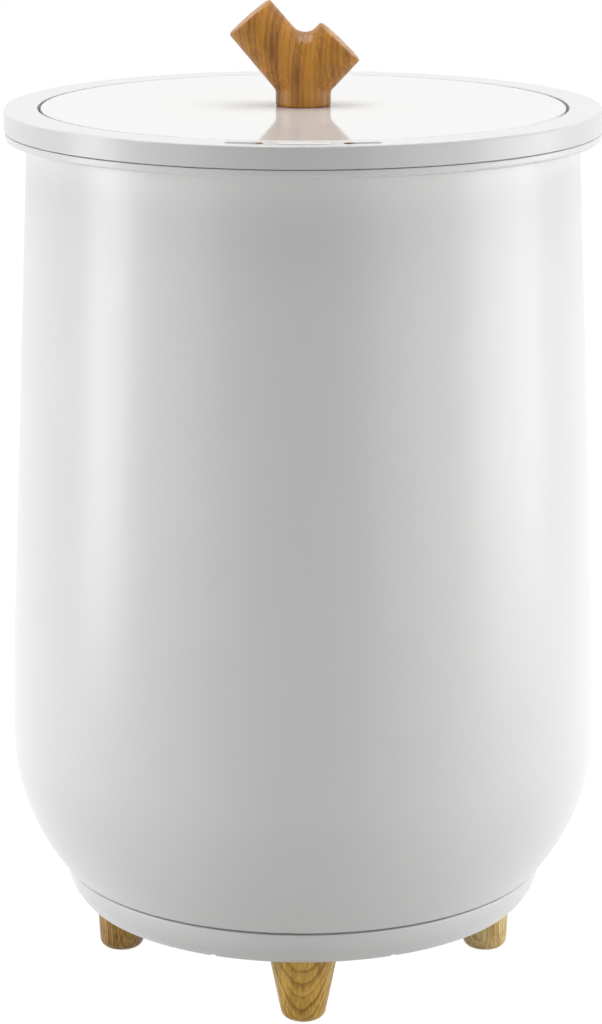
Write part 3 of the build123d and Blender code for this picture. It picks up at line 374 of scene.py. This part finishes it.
# %% Fibres, streaks and pores
LONG_MARKS = {  # size across the grain in mm, how many times longer along it, detail
    "fibres": (1.1, 14, 4.0),
    "streaks": (4.5, 7, 3.0),
    "pores": (0.8, 9, 2.0),
}


def drawn_out_marks(tree, bent):
    """Noise drawn out along the grain, by the name of the mark it makes."""
    marks = {}
    for label, (across, longer, detail) in LONG_MARKS.items():
        drawn_out = add_node(tree, "ShaderNodeMapping", {
            "Vector": bent, "Scale": (1, 1, 1 / longer),
        })
        marks[label] = add_node(tree, "ShaderNodeTexNoise", {
            "Vector": drawn_out.outputs[0], "Scale": 1 / (across * MM), "Detail": detail,
        }).outputs[0]
    return marks


print("marks:", list(LONG_MARKS))

# %% The wood's colour and lacquer
def wood(name, pith, lean, ring, late_share, light, dark, sway=0.9):
    """Ash whose rings, ring mm apart, grow about a line through pith (mm), leaning by degrees."""
    material, tree, place = new_material(name)
    bent = ring_space(tree, place, pith, lean, sway)
    late, years = growth(tree, bent, ring)
    marks = drawn_out_marks(tree, bent)
    dark_share = late
    for mark, factor, start, end, low, high in (
        (marks["fibres"], late_share, NOISE_LOW, NOISE_HIGH, -0.10, 0.45),
        (marks["streaks"], 1.0, NOISE_LOW, NOISE_HIGH, -0.15, 0.32),
        (years, 1.0, NOISE_LOW, NOISE_HIGH, -0.28, 0.28),
        (marks["pores"], 1.0, 0.58, 0.70, 0.0, 0.22),  # only its peaks
    ):
        spread = add_node(tree, "ShaderNodeMapRange", {
            "Value": mark, "From Min": start, "From Max": end, "To Min": low, "To Max": high,
        }).outputs[0]
        dark_share = add_node(tree, "ShaderNodeMath", {
            0: dark_share, 1: factor, 2: spread,
        }, operation="MULTIPLY_ADD").outputs[0]
    dark_share = add_node(tree, "ShaderNodeClamp", {"Value": dark_share}).outputs[0]
    tint = add_node(tree, "ShaderNodeMix", {
        0: dark_share, 6: colour(light), 7: colour(dark),
    }, data_type="RGBA").outputs[2]
    gloss = add_node(tree, "ShaderNodeMapRange", {
        "Value": dark_share, "To Min": 0.36, "To Max": 0.50,
    }).outputs[0]
    sunk = add_node(tree, "ShaderNodeMath", {0: 1.0, 1: dark_share}, operation="SUBTRACT")
    bump = add_node(tree, "ShaderNodeBump", {"Height": sunk.outputs[0], "Distance": 0.06 * MM})
    shader = add_node(tree, "ShaderNodeBsdfPrincipled", {
        "Base Color": tint, "Roughness": gloss, "IOR": 1.48, "Coat Weight": 0.12,
        "Coat Roughness": 0.28, "Normal": bump.outputs[0],
    })
    add_node(tree, "ShaderNodeOutputMaterial", {"Surface": shader.outputs[0]})
    return material


print("late wood is darker, duller and a little sunk")

# %% [markdown]
# ## The wood of the handle and the feet
#
# All five pieces could share one material, but then they would look sawn from one spot. Instead
# each has its own pith, lean and ring width. A pith far to one side gives straight grain, and one
# close behind the piece gives arches.

# %% The wood of the handle and the feet
FOOT_CIRCLE, FOOT_MIDDLE = 96, 21  # mm from the axis to a foot's middle, and its height


def foot_wood(name, angle, pith_back, lean, light, dark):
    """Ash for the foot at an angle. Its rings grow about a line behind it and lean outwards."""
    turn = Matrix.Rotation(math.radians(angle + 90), 4, "Z")
    middle = turn @ Vector((pith_back[0], pith_back[1] - FOOT_CIRCLE, FOOT_MIDDLE))
    rotation = (turn @ Matrix.Rotation(math.radians(-lean), 4, "X")).to_euler()
    degrees_round = [math.degrees(value) for value in rotation]
    return wood(name, middle, degrees_round, 1.5, 0.62, light, dark, sway=0.5)


# stained a warm brown, with its pith far to one side, so the grain runs up and down it
handle_ash = wood(
    "Ash, straight-grained", (-95, 14, 487), (0, 1.2, 0), 2.7, 0.42, "#c0811c", "#7c4a08"
)
# each foot comes from another part of a plank: golden or brown, arched or nearly straight
foot_ash = {
    "front_foot": foot_wood("Ash, arched front", -90, (1, 24), 9.0, "#f8c956", "#96650f"),
    "left_foot": foot_wood("Ash, arched left", 180, (30, 10), 9.0, "#d8a444", "#573305"),
    "right_foot": foot_wood("Ash, arched right", 0, (-30, 10), 12.0, "#ffe9a6", "#c08e3a"),
    "rear_foot": foot_wood("Ash, arched rear", 90, (4, 26), 7.0, "#e6b04c", "#84560f"),
}
print("wood:", handle_ash.name, [material.name for material in foot_ash.values()])

# %% [markdown]
# ## Metals
#
# The heater is glued under crinkled foil, the screws are zinc-plated with a faint blue cast, and
# the inserts are turned brass. A metal's colour is its reflection, and its default IOR stays. One
# recipe serves them all: noise for the marks, which changes the colour, the gloss and the bump
# together, as a real scratch does. Stretching the noise draws the marks of a lathe.

# %% Metals
def metal(name, code, rough, grain, depth, haze=0.08, stretch=(1, 1, 1)):
    """A metal. grain and depth are the size of its marks in mm, stretched along x, y and z."""
    material, tree, place = new_material(name)
    drawn_out = add_node(tree, "ShaderNodeMapping", {
        "Vector": place, "Scale": tuple(1 / factor for factor in stretch),
    })
    marks = add_node(tree, "ShaderNodeTexNoise", {
        "Vector": drawn_out.outputs[0], "Scale": 1 / (grain * MM), "Detail": 4.0,
    }).outputs[0]
    tint = add_node(tree, "ShaderNodeMix", {
        0: marks, 6: shaded(code, 0.88), 7: colour(code),
    }, data_type="RGBA").outputs[2]
    gloss = add_node(tree, "ShaderNodeMapRange", {
        "Value": marks, "From Min": NOISE_LOW, "From Max": NOISE_HIGH,
        "To Min": rough, "To Max": rough + haze,
    }).outputs[0]
    bump = add_node(tree, "ShaderNodeBump", {"Height": marks, "Distance": depth * MM})
    shader = add_node(tree, "ShaderNodeBsdfPrincipled", {
        "Base Color": tint, "Metallic": 1.0, "Roughness": gloss, "Normal": bump.outputs[0],
    })
    add_node(tree, "ShaderNodeOutputMaterial", {"Surface": shader.outputs[0]})
    return material


# small facets, one to a crease, that flash in turn
finishes["aluminium_foil"] = metal("Aluminium foil, crinkled", "#dfe1e2", 0.28, 5.0, 0.9)
# a bluish grey with soft, cloudy highlights
finishes["steel"] = metal("Steel, zinc-plated", "#bfc3ca", 0.28, 1.5, 0.01)
# yellow, with level lines from turning that are drawn a few times as wide as real ones
finishes["brass"] = metal("Brass, turned", "#d3ac5e", 0.28, 0.7, 0.02, stretch=(6, 6, 1))
# the edges of stacked sheets 0.5 mm thick, dulled by varnish
core = metal("Transformer iron, varnished", "#4a4a50", 0.42, 0.5, 0.05, stretch=(40, 40, 1))
finishes["transformer_core"] = core
print("metals:", [finishes[slot].name for slot in ("aluminium_foil", "steel", "brass")])

# %% [markdown]
# ## The spun pot
#
# The pot is pressed over a turning former from an aluminium disc, and the tool leaves fine rings
# about its axis. A stretched noise can't make those, because they close on themselves. So the
# noise here only changes with the height and the distance from the axis.

# %% The spun pot
SPUN_RING, SPUN_PATCH = 0.9, 30  # mm, of the tool's rings and of the cloudy patches over them


def spun_aluminium():
    """Aluminium with rings about the bucket's axis, drawn coarser than a real tool's."""
    material, tree, place = new_material("Aluminium, spun")
    flat = add_node(tree, "ShaderNodeVectorMath", {0: place, 1: (1, 1, 0)}, operation="MULTIPLY")
    reach = add_node(tree, "ShaderNodeVectorMath", {0: flat.outputs[0]}, operation="LENGTH")
    height = add_node(tree, "ShaderNodeSeparateXYZ", {0: place}).outputs[2]
    turns = add_node(tree, "ShaderNodeCombineXYZ", {0: reach.outputs["Value"], 2: height})
    lines = add_node(tree, "ShaderNodeTexNoise", {
        "Vector": turns.outputs[0], "Scale": 1 / (SPUN_RING * MM), "Detail": 5.0,
    }).outputs[0]
    patches = add_node(tree, "ShaderNodeTexNoise", {
        "Vector": place, "Scale": 1 / (SPUN_PATCH * MM), "Detail": 3.0,
    }).outputs[0]
    tint = add_node(tree, "ShaderNodeMix", {
        0: patches, 6: colour("#bfc2c5"), 7: colour("#d6d8da"),
    }, data_type="RGBA").outputs[2]
    gloss = add_node(tree, "ShaderNodeMapRange", {
        "Value": lines, "From Min": NOISE_LOW, "From Max": NOISE_HIGH,
        "To Min": 0.28, "To Max": 0.42,
    }).outputs[0]
    bump = add_node(tree, "ShaderNodeBump", {"Height": lines, "Distance": 0.03 * MM})
    shader = add_node(tree, "ShaderNodeBsdfPrincipled", {
        "Base Color": tint, "Metallic": 1.0, "Roughness": gloss, "Normal": bump.outputs[0],
    })
    add_node(tree, "ShaderNodeOutputMaterial", {"Surface": shader.outputs[0]})
    return material


# soft bright bands that run up and down, broken by the rings
finishes["aluminium"] = spun_aluminium()
print(finishes["aluminium"].name, "with rings", SPUN_RING, "mm wide")

# %% [markdown]
# ## Clear plastics and glass
#
# The two indicator windows are smoked acrylic: dark, with the same gloss as the ring they sit
# flush in, so light only shows when the lamps under them are lit. The lamps are clear epoxy and
# the fuse is a glass tube. An alpha value would only fade them, so they transmit light instead,
# which bends it and keeps their reflections.

# %% Clear plastics and glass
def clear(name, code, rough, ior, transmission):
    """A clear or tinted glass or plastic, with fine scratches in its polish."""
    material, tree, place = new_material(name)
    cloud = add_node(tree, "ShaderNodeTexNoise", {
        "Vector": place, "Scale": 1 / (20 * MM), "Detail": 3.0,
    }).outputs[0]
    tint = add_node(tree, "ShaderNodeMix", {
        0: cloud, 6: shaded(code, 0.94), 7: colour(code),
    }, data_type="RGBA").outputs[2]
    drawn_out = add_node(tree, "ShaderNodeMapping", {"Vector": place, "Scale": (1 / 12, 1, 1)})
    scratches = add_node(tree, "ShaderNodeTexNoise", {
        "Vector": drawn_out.outputs[0], "Scale": 1 / (0.7 * MM), "Detail": 4.0,
    }).outputs[0]
    gloss = add_node(tree, "ShaderNodeMapRange", {
        "Value": scratches, "From Min": NOISE_LOW, "From Max": NOISE_HIGH,
        "To Min": rough, "To Max": rough + 0.03,
    }).outputs[0]
    shader = add_node(tree, "ShaderNodeBsdfPrincipled", {
        "Base Color": tint, "Roughness": gloss, "IOR": ior, "Transmission Weight": transmission,
    })
    add_node(tree, "ShaderNodeOutputMaterial", {"Surface": shader.outputs[0]})
    return material


# nearly black, with a clear reflection
finishes["smoked_acrylic"] = clear("Acrylic, smoked", "#3c3e42", 0.05, 1.49, 0.35)
# like slightly soft glass
finishes["led_epoxy"] = clear("Epoxy, water-clear", "#eceee8", 0.08, 1.53, 0.7)
# clear, with sharp highlights at its edges
finishes["glass"] = clear("Glass tube", "#eef4f3", 0.02, 1.50, 1.0)
print("clear:", [finishes[slot].name for slot in ("smoked_acrylic", "led_epoxy", "glass")])

# %% [markdown]
# ## Circuit boards
#
# The boards are glass cloth and resin under a green lacquer, with copper tracks between. The
# tracks could be modelled, but at a thirtieth of a millimetre high they are little more than a
# change of shade. Straight-sided Voronoi cells give edges that run like them.

# %% Circuit boards
CLOTH_CELL, TRACK_CELL = 0.7, 6  # mm
TRACK_HEIGHT = 0.035


def solder_mask():
    """Green mask over copper tracks and glass cloth."""
    material, tree, place = new_material("Solder mask, green")
    cloth = add_node(tree, "ShaderNodeTexChecker", {
        "Vector": place, "Scale": 1 / (CLOTH_CELL * MM),
    })
    cells = add_node(tree, "ShaderNodeTexVoronoi", {
        "Vector": place, "Scale": 1 / (TRACK_CELL * MM),
    }, distance="CHEBYCHEV", feature="F1").outputs["Distance"]
    tracks = add_node(tree, "ShaderNodeMath", {0: cells, 1: 0.2}, operation="PINGPONG").outputs[0]
    copper = add_node(tree, "ShaderNodeMapRange", {
        "Value": tracks, "From Min": 0.07, "From Max": 0.09,
    }).outputs[0]
    mask = add_node(tree, "ShaderNodeMix", {
        0: cloth.outputs["Fac"], 6: colour("#145034"), 7: colour("#175a3a"),
    }, data_type="RGBA").outputs[2]
    tint = add_node(tree, "ShaderNodeMix", {
        0: copper, 6: mask, 7: colour("#2f7d4a"),
    }, data_type="RGBA").outputs[2]
    gloss = add_node(tree, "ShaderNodeMapRange", {
        "Value": copper, "To Min": 0.36, "To Max": 0.28,
    }).outputs[0]
    bump = add_node(tree, "ShaderNodeBump", {"Height": copper, "Distance": TRACK_HEIGHT * MM})
    shader = add_node(tree, "ShaderNodeBsdfPrincipled", {
        "Base Color": tint, "Roughness": gloss, "IOR": 1.55, "Normal": bump.outputs[0],
    })
    add_node(tree, "ShaderNodeOutputMaterial", {"Surface": shader.outputs[0]})
    return material


# a dark green gloss, lighter where copper lies under it
finishes["circuit_board"] = solder_mask()
print(finishes["circuit_board"].name)

# %% [markdown]
# ## Felt
#
# The sleeve round the pot is polyester felt, tangled by barbed needles. Hair could be grown on it,
# but the sleeve is hardly ever seen, so noise and small pits stand for its tufts, and a little
# sheen for its fuzz.

# %% Felt
def needled_felt():
    """Felt whose fibres lie every way, with the small pits that the needles leave.

    Real fibres are some 0.02 mm thick, so these are tufts of them, wide enough to show.
    """
    material, tree, place = new_material("Polyester felt, needled")
    fibres = add_node(tree, "ShaderNodeTexNoise", {
        "Vector": place, "Scale": 1 / (1.2 * MM), "Detail": 8.0,
    }).outputs[0]
    pits = add_node(tree, "ShaderNodeTexVoronoi", {"Vector": place, "Scale": 1 / (2.6 * MM)})
    hair = add_node(tree, "ShaderNodeMath", {
        0: pits.outputs["Distance"], 1: 0.4, 2: fibres,
    }, operation="MULTIPLY_ADD").outputs[0]
    # the colour follows the bump's height: the fibres' own tone, plus painted shade that darkens the
    # needle pits
    fibre_tone_and_pit_shade = add_node(tree, "ShaderNodeMapRange", {
        "Value": hair, "From Min": 0.4, "From Max": 1.0,
    }).outputs[0]
    tint = add_node(tree, "ShaderNodeMix", {
        0: fibre_tone_and_pit_shade, 6: colour("#b9b4a9"), 7: colour("#dcd9d1"),
    }, data_type="RGBA").outputs[2]
    bump = add_node(tree, "ShaderNodeBump", {"Height": hair, "Distance": 0.5 * MM})
    shader = add_node(tree, "ShaderNodeBsdfPrincipled", {
        "Base Color": tint, "Roughness": 0.95, "Sheen Weight": 0.3, "Normal": bump.outputs[0],
    })
    add_node(tree, "ShaderNodeOutputMaterial", {"Surface": shader.outputs[0]})
    return material


# a warm, matt off-white with a little fuzz
finishes["felt"] = needled_felt()
print(len(finishes), "finishes")

# %% [markdown]
# ## Dressing the frame
#
# Each node of the frame carries a material named for its slot in the record, so most pieces are
# dressed by looking that name up. The lid and the feet then get their own: the lid its mirror
# polish, and each foot its own cut of wood, because no two turned feet share their grain.

# %% Dressing the frame
slots = {name: node.data.materials[0].name for name, node in nodes.items()}
for name, node in nodes.items():
    node.data.materials[0] = finishes.get(slots[name], handle_ash)
nodes["lid_cover"].data.materials[0] = lid_gloss
# the ring gets the walls' plastic with painted shade, a greyer copy of its colour
nodes["top_ring"].data.materials[0] = ring_abs_painted_darker
for name, material in foot_ash.items():
    nodes[name].data.materials[0] = material
print("slots dressed:", sorted(set(slots.values())))

# %% [markdown]
# ## Trees that make geometry
#
# Some pieces follow a rule: the side is one outline swept round an axis, and a screw is the same
# at every place. Geometry Nodes make these. A modifier runs the tree, and then its result is
# frozen to a plain mesh that stands for a node of the frame. Edges sharper than a set angle are
# marked, so that flats stay flat and curves stay smooth.

# %% Trees that make geometry
def new_geometry_tree(name, inputs):
    """An empty tree with an input of each name and kind, and the sockets that bring them in."""
    tree = bpy.data.node_groups.new(name, "GeometryNodeTree")
    tree.interface.new_socket("Geometry", in_out="OUTPUT", socket_type="NodeSocketGeometry")
    for label, kind in inputs.items():
        tree.interface.new_socket(label, in_out="INPUT", socket_type="NodeSocket" + kind)
    return tree, add_node(tree, "NodeGroupInput").outputs


def finish_tree(tree, geometry, material):
    """Real geometry, shaded smooth, with its material."""
    real = add_node(tree, "GeometryNodeRealizeInstances", {"Geometry": geometry}).outputs[0]
    smooth = add_node(tree, "GeometryNodeSetShadeSmooth", {"Geometry": real}).outputs[0]
    done = add_node(tree, "GeometryNodeSetMaterial", {"Geometry": smooth, "Material": material})
    add_node(tree, "NodeGroupOutput", {"Geometry": done.outputs[0]})


def new_piece(name, mesh):
    """An object at the origin that holds a mesh."""
    piece = bpy.data.objects.new(name, mesh)
    bpy.context.scene.collection.objects.link(piece)
    return piece


SHARP_ANGLE = 40


def frozen(piece):
    """Turns a piece and its modifiers into a plain mesh."""
    ready = piece.evaluated_get(bpy.context.evaluated_depsgraph_get())
    mesh = bpy.data.meshes.new_from_object(ready)
    mesh.set_sharp_from_angle(angle=math.radians(SHARP_ANGLE))
    piece.modifiers.clear()
    piece.data = mesh


def run_tree(tree, piece, values):
    """Gives a piece the tree as a modifier, with its inputs set by their identifiers."""
    modifier = piece.modifiers.new(tree.name, "NODES")
    modifier.node_group = tree
    for item in tree.interface.items_tree:
        if item.in_out == "INPUT" and item.name in values:
            modifier[item.identifier] = values[item.name]


def stands_for(piece, node):
    """The piece replaces a node of the frame, on the same body, and the node is hidden."""
    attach(piece, nodes[node]["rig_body"])
    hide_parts(node)
    print(piece.name, len(piece.data.polygons), "faces for", node)


print("edges sharper than", SHARP_ANGLE, "degrees stay sharp")

# %% [markdown]
# ## The bucket's side
#
# The side is turned as on a lathe. Its outline is a straight cone from the neck down, a long arc
# to the belly, a short arc to the toe and a flat flange turned in. Each arc needs three points,
# so this cell works them out from the radii and levels that the mould would be drawn with.

# %% The bucket's outline
shell_low, shell_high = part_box("outer_shell")
NECK_RADIUS, NECK_LEVEL = 142.6, shell_high.z / MM
BELLY_RADIUS, BELLY_LEVEL = 155.73, 128.8  # a hair inside the frame
TOE_RADIUS, TOE_LEVEL = 129.7, shell_low.z / MM
OPENING_RADIUS = 106.0
SIDE_ARC = 1316.0
WALL = 2.5
SCREW_CIRCLE, SCREW_HOLE = 112.0, 2.1


def side_outline():
    """Corners (radius, height) of the side: neck, joint, arc middles, belly, toe and flange."""
    centre = BELLY_RADIUS - SIDE_ARC
    rise, run = NECK_LEVEL - BELLY_LEVEL, NECK_RADIUS - centre
    draft = math.atan2(rise, run) - math.acos(SIDE_ARC / math.hypot(run, rise))
    toe_width, toe_height = BELLY_RADIUS - TOE_RADIUS, BELLY_LEVEL - TOE_LEVEL
    toe_arc = (toe_width**2 + toe_height**2) / (2 * toe_width)
    toe_sweep = math.asin(toe_height / toe_arc)

    def on_side(angle):
        return centre + SIDE_ARC * math.cos(angle), BELLY_LEVEL + SIDE_ARC * math.sin(angle)

    toe_middle = (
        BELLY_RADIUS - toe_arc + toe_arc * math.cos(toe_sweep / 2),
        BELLY_LEVEL - toe_arc * math.sin(toe_sweep / 2),
    )
    return {
        "Neck": (NECK_RADIUS, NECK_LEVEL),
        "Joint": on_side(draft),
        "Side middle": on_side(draft / 2),
        "Belly": (BELLY_RADIUS, BELLY_LEVEL),
        "Toe middle": toe_middle,
        "Toe": (TOE_RADIUS, TOE_LEVEL),
        "Flange": (OPENING_RADIUS, TOE_LEVEL),
    }


print({name: [round(value, 1) for value in corner] for name, corner in side_outline().items()})

# %% [markdown]
# ## The lathe
#
# Curve to Mesh sweeps the outline round a circle. A Screw modifier or a Spin would also do it, but
# a tree has a named input for each corner, so the bucket can be made wider or taller by its
# sizes alone. The tree makes only the outer face, and Solidify gives it a moulder's even wall.

# %% The lathe
SWEEP_RADIUS = 0.1  # any circle serves as the lathe's path, and the outline is set back by it
TURNS = 256
CONE_STEPS, SIDE_STEPS, TOE_STEPS = 25, 24, 40
WELD = 0.01
corners = side_outline()
lathe, size = new_geometry_tree("Lathe for the side", {
    **{name: "Vector" for name in corners}, "Turns": "Int", "Material": "Material",
})
cone = add_node(lathe, "GeometryNodeCurvePrimitiveLine", {
    "Start": size["Neck"], "End": size["Joint"],
})
parts = [
    add_node(lathe, "GeometryNodeResampleCurve", {"Curve": cone.outputs[0], "Count": CONE_STEPS}),
    add_node(lathe, "GeometryNodeCurveArc", {
        "Start": size["Joint"], "Middle": size["Side middle"], "End": size["Belly"],
        "Resolution": SIDE_STEPS,
    }, mode="POINTS"),
    add_node(lathe, "GeometryNodeCurveArc", {
        "Start": size["Belly"], "Middle": size["Toe middle"], "End": size["Toe"],
        "Resolution": TOE_STEPS,
    }, mode="POINTS"),
    add_node(lathe, "GeometryNodeCurvePrimitiveLine", {"Start": size["Toe"], "End": size["Flange"]}),
]
line = add_node(lathe, "GeometryNodeJoinGeometry", {0: [part.outputs[0] for part in parts]})
upright = add_node(lathe, "GeometryNodeTransform", {
    "Geometry": line.outputs[0], "Translation": (-SWEEP_RADIUS, 0, 0), "Rotation": (math.pi, 0, 0),
})
circle = add_node(lathe, "GeometryNodeCurvePrimitiveCircle", {
    "Resolution": size["Turns"], "Radius": SWEEP_RADIUS,
})
swept = add_node(lathe, "GeometryNodeCurveToMesh", {
    "Curve": circle.outputs[0], "Profile Curve": upright.outputs[0],
})
welded = add_node(lathe, "GeometryNodeMergeByDistance", {
    "Geometry": swept.outputs[0], "Distance": WELD * MM,
})
finish_tree(lathe, welded.outputs[0], size["Material"])

bucket_side = new_piece("bucket_side", bpy.data.meshes.new("bucket_side"))
run_tree(lathe, bucket_side, {
    **{name: (radius * MM, height * MM, 0) for name, (radius, height) in corners.items()},
    "Turns": TURNS, "Material": finishes["white_abs"],
})
wall = bucket_side.modifiers.new("Wall", "SOLIDIFY")
wall.thickness, wall.offset, wall.use_even_offset = WALL * MM, -1, True
print("the outline runs round in", TURNS, "steps")

# %% [markdown]
# ## The flange's screw holes
#
# Four screws hold the base to the flange that is turned in at the foot of the side. Their holes
# don't follow the lathe, so a Boolean drills them with four cylinders, which are then deleted.

# %% The flange's screw holes
drill = bmesh.new()
for quarter in range(4):
    turn = Matrix.Rotation(math.radians(45 + 90 * quarter), 4, "Z")
    place = turn @ Matrix.Translation((SCREW_CIRCLE * MM, 0, TOE_LEVEL * MM))
    bmesh.ops.create_cone(
        drill, cap_ends=True, segments=24, radius1=SCREW_HOLE * MM, radius2=SCREW_HOLE * MM,
        depth=4 * WALL * MM, matrix=place,
    )
drill_mesh = bpy.data.meshes.new("drill")
drill.to_mesh(drill_mesh)
drill.free()
drill_object = new_piece("drill", drill_mesh)
holes = bucket_side.modifiers.new("Screw holes", "BOOLEAN")
holes.object, holes.operation, holes.solver = drill_object, "DIFFERENCE", "EXACT"
frozen(bucket_side)
bpy.data.objects.remove(drill_object)
stands_for(bucket_side, "outer_shell")

# %% [markdown]
# ## Screws, from one tree
#
# The base and the lid are held by self-tapping screws. One screw could be modelled and copied by
# hand, but the two sets differ in size, so one tree makes them all. It takes a mesh whose
# vertices are the places of the heads, and its inputs give the sizes. Smaller measures follow
# from those, as they do in a table of standard screws.

# %% Screws, from one tree
screw, size = new_geometry_tree("Self-tapping screws", {
    "Places": "Geometry", "Head radius": "Float", "Neck radius": "Float", "Head height": "Float",
    "Shank radius": "Float", "Length": "Float", "Pitch": "Float", "Material": "Material",
})
MEASURES = {  # each is a share of one of the inputs
    "slot length": ("Head radius", 1.1), "slot width": ("Head radius", 0.24),
    "seat": ("Head height", 0.9), "core": ("Shank radius", 0.78), "thread": ("Shank radius", 0.2),
    "point": ("Shank radius", 1.6), "tip": ("Shank radius", 0.15),
}
part = {
    label: add_node(screw, "ShaderNodeMath", {
        0: size[name], 1: share,
    }, operation="MULTIPLY").outputs[0]
    for label, (name, share) in MEASURES.items()
}
RECESS = 1.6 * MM  # half of each slot's height stands outside the head
print(len(MEASURES), "measures taken from", len(size) - 3, "sizes")

# %% [markdown]
# ## The screw's head
#
# The head is a low cone, nearly a cylinder for the base and countersunk for the lid. Two crossed
# blocks cut the recess for the screwdriver, half in and half outside it.

# %% The screw's head
HEAD_SIDES = 40

head = add_node(screw, "GeometryNodeMeshCone", {
    "Vertices": HEAD_SIDES, "Radius Top": size["Neck radius"], "Radius Bottom": size["Head radius"],
    "Depth": size["Head height"],
}).outputs["Mesh"]
slots_across = [
    add_node(screw, "GeometryNodeMeshCube", {
        "Size": add_node(screw, "ShaderNodeCombineXYZ", {0: long, 1: wide, 2: RECESS}).outputs[0],
    }).outputs["Mesh"]
    for long, wide in (
        (part["slot length"], part["slot width"]), (part["slot width"], part["slot length"]),
    )
]
driven = add_node(screw, "GeometryNodeMeshBoolean", {
    "Mesh 1": head, "Mesh 2": slots_across,
}, operation="DIFFERENCE", solver="EXACT").outputs["Mesh"]
print("head:", driven.node.name, "by", driven.node.solver)

# %% [markdown]
# ## The screw's shank
#
# The shank is a core with a point, and the thread is a triangle swept along a spiral. A displaced
# cylinder would only look like a thread, while this one has the right pitch and a closed end.

# %% The screw's shank
CORE_SIDES, SPIRAL_STEPS = 24, 16

core_length = add_node(screw, "ShaderNodeMath", {
    0: size["Length"], 1: part["point"],
}, operation="SUBTRACT").outputs[0]
core = add_node(screw, "GeometryNodeMeshCone", {
    "Vertices": CORE_SIDES, "Radius Top": part["core"], "Radius Bottom": part["core"],
    "Depth": core_length,
}).outputs["Mesh"]
point = add_node(screw, "GeometryNodeMeshCone", {
    "Vertices": CORE_SIDES, "Radius Top": part["tip"], "Radius Bottom": part["core"],
    "Depth": part["point"],
}).outputs["Mesh"]
raised = add_node(screw, "GeometryNodeTransform", {
    "Geometry": point,
    "Translation": add_node(screw, "ShaderNodeCombineXYZ", {2: core_length}).outputs[0],
}).outputs[0]
turns = add_node(screw, "ShaderNodeMath", {
    0: core_length, 1: size["Pitch"],
}, operation="DIVIDE").outputs[0]
spiral = add_node(screw, "GeometryNodeCurveSpiral", {
    "Resolution": SPIRAL_STEPS, "Rotations": turns, "Start Radius": part["core"],
    "End Radius": part["core"], "Height": core_length,
}).outputs[0]
triangle = add_node(screw, "GeometryNodeCurvePrimitiveCircle", {
    "Resolution": 3, "Radius": part["thread"],
}).outputs[0]
thread = add_node(screw, "GeometryNodeCurveToMesh", {
    "Curve": spiral, "Profile Curve": triangle, "Fill Caps": True,
}).outputs[0]
shank = add_node(screw, "GeometryNodeJoinGeometry", {0: [core, raised, thread]}).outputs[0]
set_in = add_node(screw, "GeometryNodeTransform", {
    "Geometry": shank,
    "Translation": add_node(screw, "ShaderNodeCombineXYZ", {2: part["seat"]}).outputs[0],
}).outputs[0]
whole = add_node(screw, "GeometryNodeJoinGeometry", {0: [driven, set_in]}).outputs[0]
row = add_node(screw, "GeometryNodeInstanceOnPoints", {"Points": size["Places"], "Instance": whole})
finish_tree(screw, row.outputs[0], size["Material"])
print("the screw's tree has", len(screw.nodes), "nodes")

# %% [markdown]
# ## Setting the screws
#
# Each set lies on a circle about the bucket's axis. The places could be typed in one by one, but a
# circle, some angles and a level say the same and stay true when the circle changes. The sizes
# are in millimetres: four long screws for the base, six short ones for the lid.

# %% Setting the screws
def screw_set(name, node, circle, angles, level, sizes):
    """Screws on a circle (mm), with the undersides of their heads at a level."""
    places = bpy.data.meshes.new(name)
    places.from_pydata([
        Vector((circle * math.cos(angle), circle * math.sin(angle), level)) * MM
        for angle in map(math.radians, angles)
    ], [], [])
    piece = new_piece(name, places)
    run_tree(screw, piece, {
        **{label: value * MM for label, value in sizes.items()}, "Material": finishes["steel"],
    })
    frozen(piece)
    stands_for(piece, node)


screw_set("base_screw_set", "base_screws", 112.0, (45, 135, 225, 315), 42.2, {
    "Head radius": 3.5, "Neck radius": 3.4, "Head height": 2.6, "Shank radius": 1.9,
    "Length": 25.1, "Pitch": 1.4,
})
screw_set("lid_screw_set", "lid_screws", 125.05, range(30, 390, 60), 454.8, {
    "Head radius": 2.8, "Neck radius": 1.5, "Head height": 1.3, "Shank radius": 1.5,
    "Length": 4.0, "Pitch": 1.1,
})

# %% [markdown]
# ## The handle, as one branch
#
# The frame's handle is a stem and two cones that meet in creases, but the real one is a single
# forked piece whose joints were rounded over by hand. A voxel remesh makes one even skin over
# it, and a light smoothing takes the edges down as sandpaper does, without changing its size. A
# Bevel would need clean edges where the cones cross, and there are none.

# %% The handle, as one branch
DOUBLES, VOXEL = 0.001, 0.6
SANDING_PASSES = 8

handle_branch = new_piece("handle_branch", nodes["handle"].data.copy())
skin = bmesh.new()
skin.from_mesh(handle_branch.data)
bmesh.ops.remove_doubles(skin, verts=skin.verts, dist=DOUBLES * MM)
skin.to_mesh(handle_branch.data)
skin.free()
even = handle_branch.modifiers.new("Even skin", "REMESH")
even.mode, even.voxel_size = "VOXEL", VOXEL * MM
sanding = handle_branch.modifiers.new("Sanding", "SMOOTH")
sanding.factor, sanding.iterations = 0.5, SANDING_PASSES
frozen(handle_branch)
handle_branch.data.materials.clear()
handle_branch.data.materials.append(handle_ash)
handle_branch.data.shade_smooth()
stands_for(handle_branch, "handle")
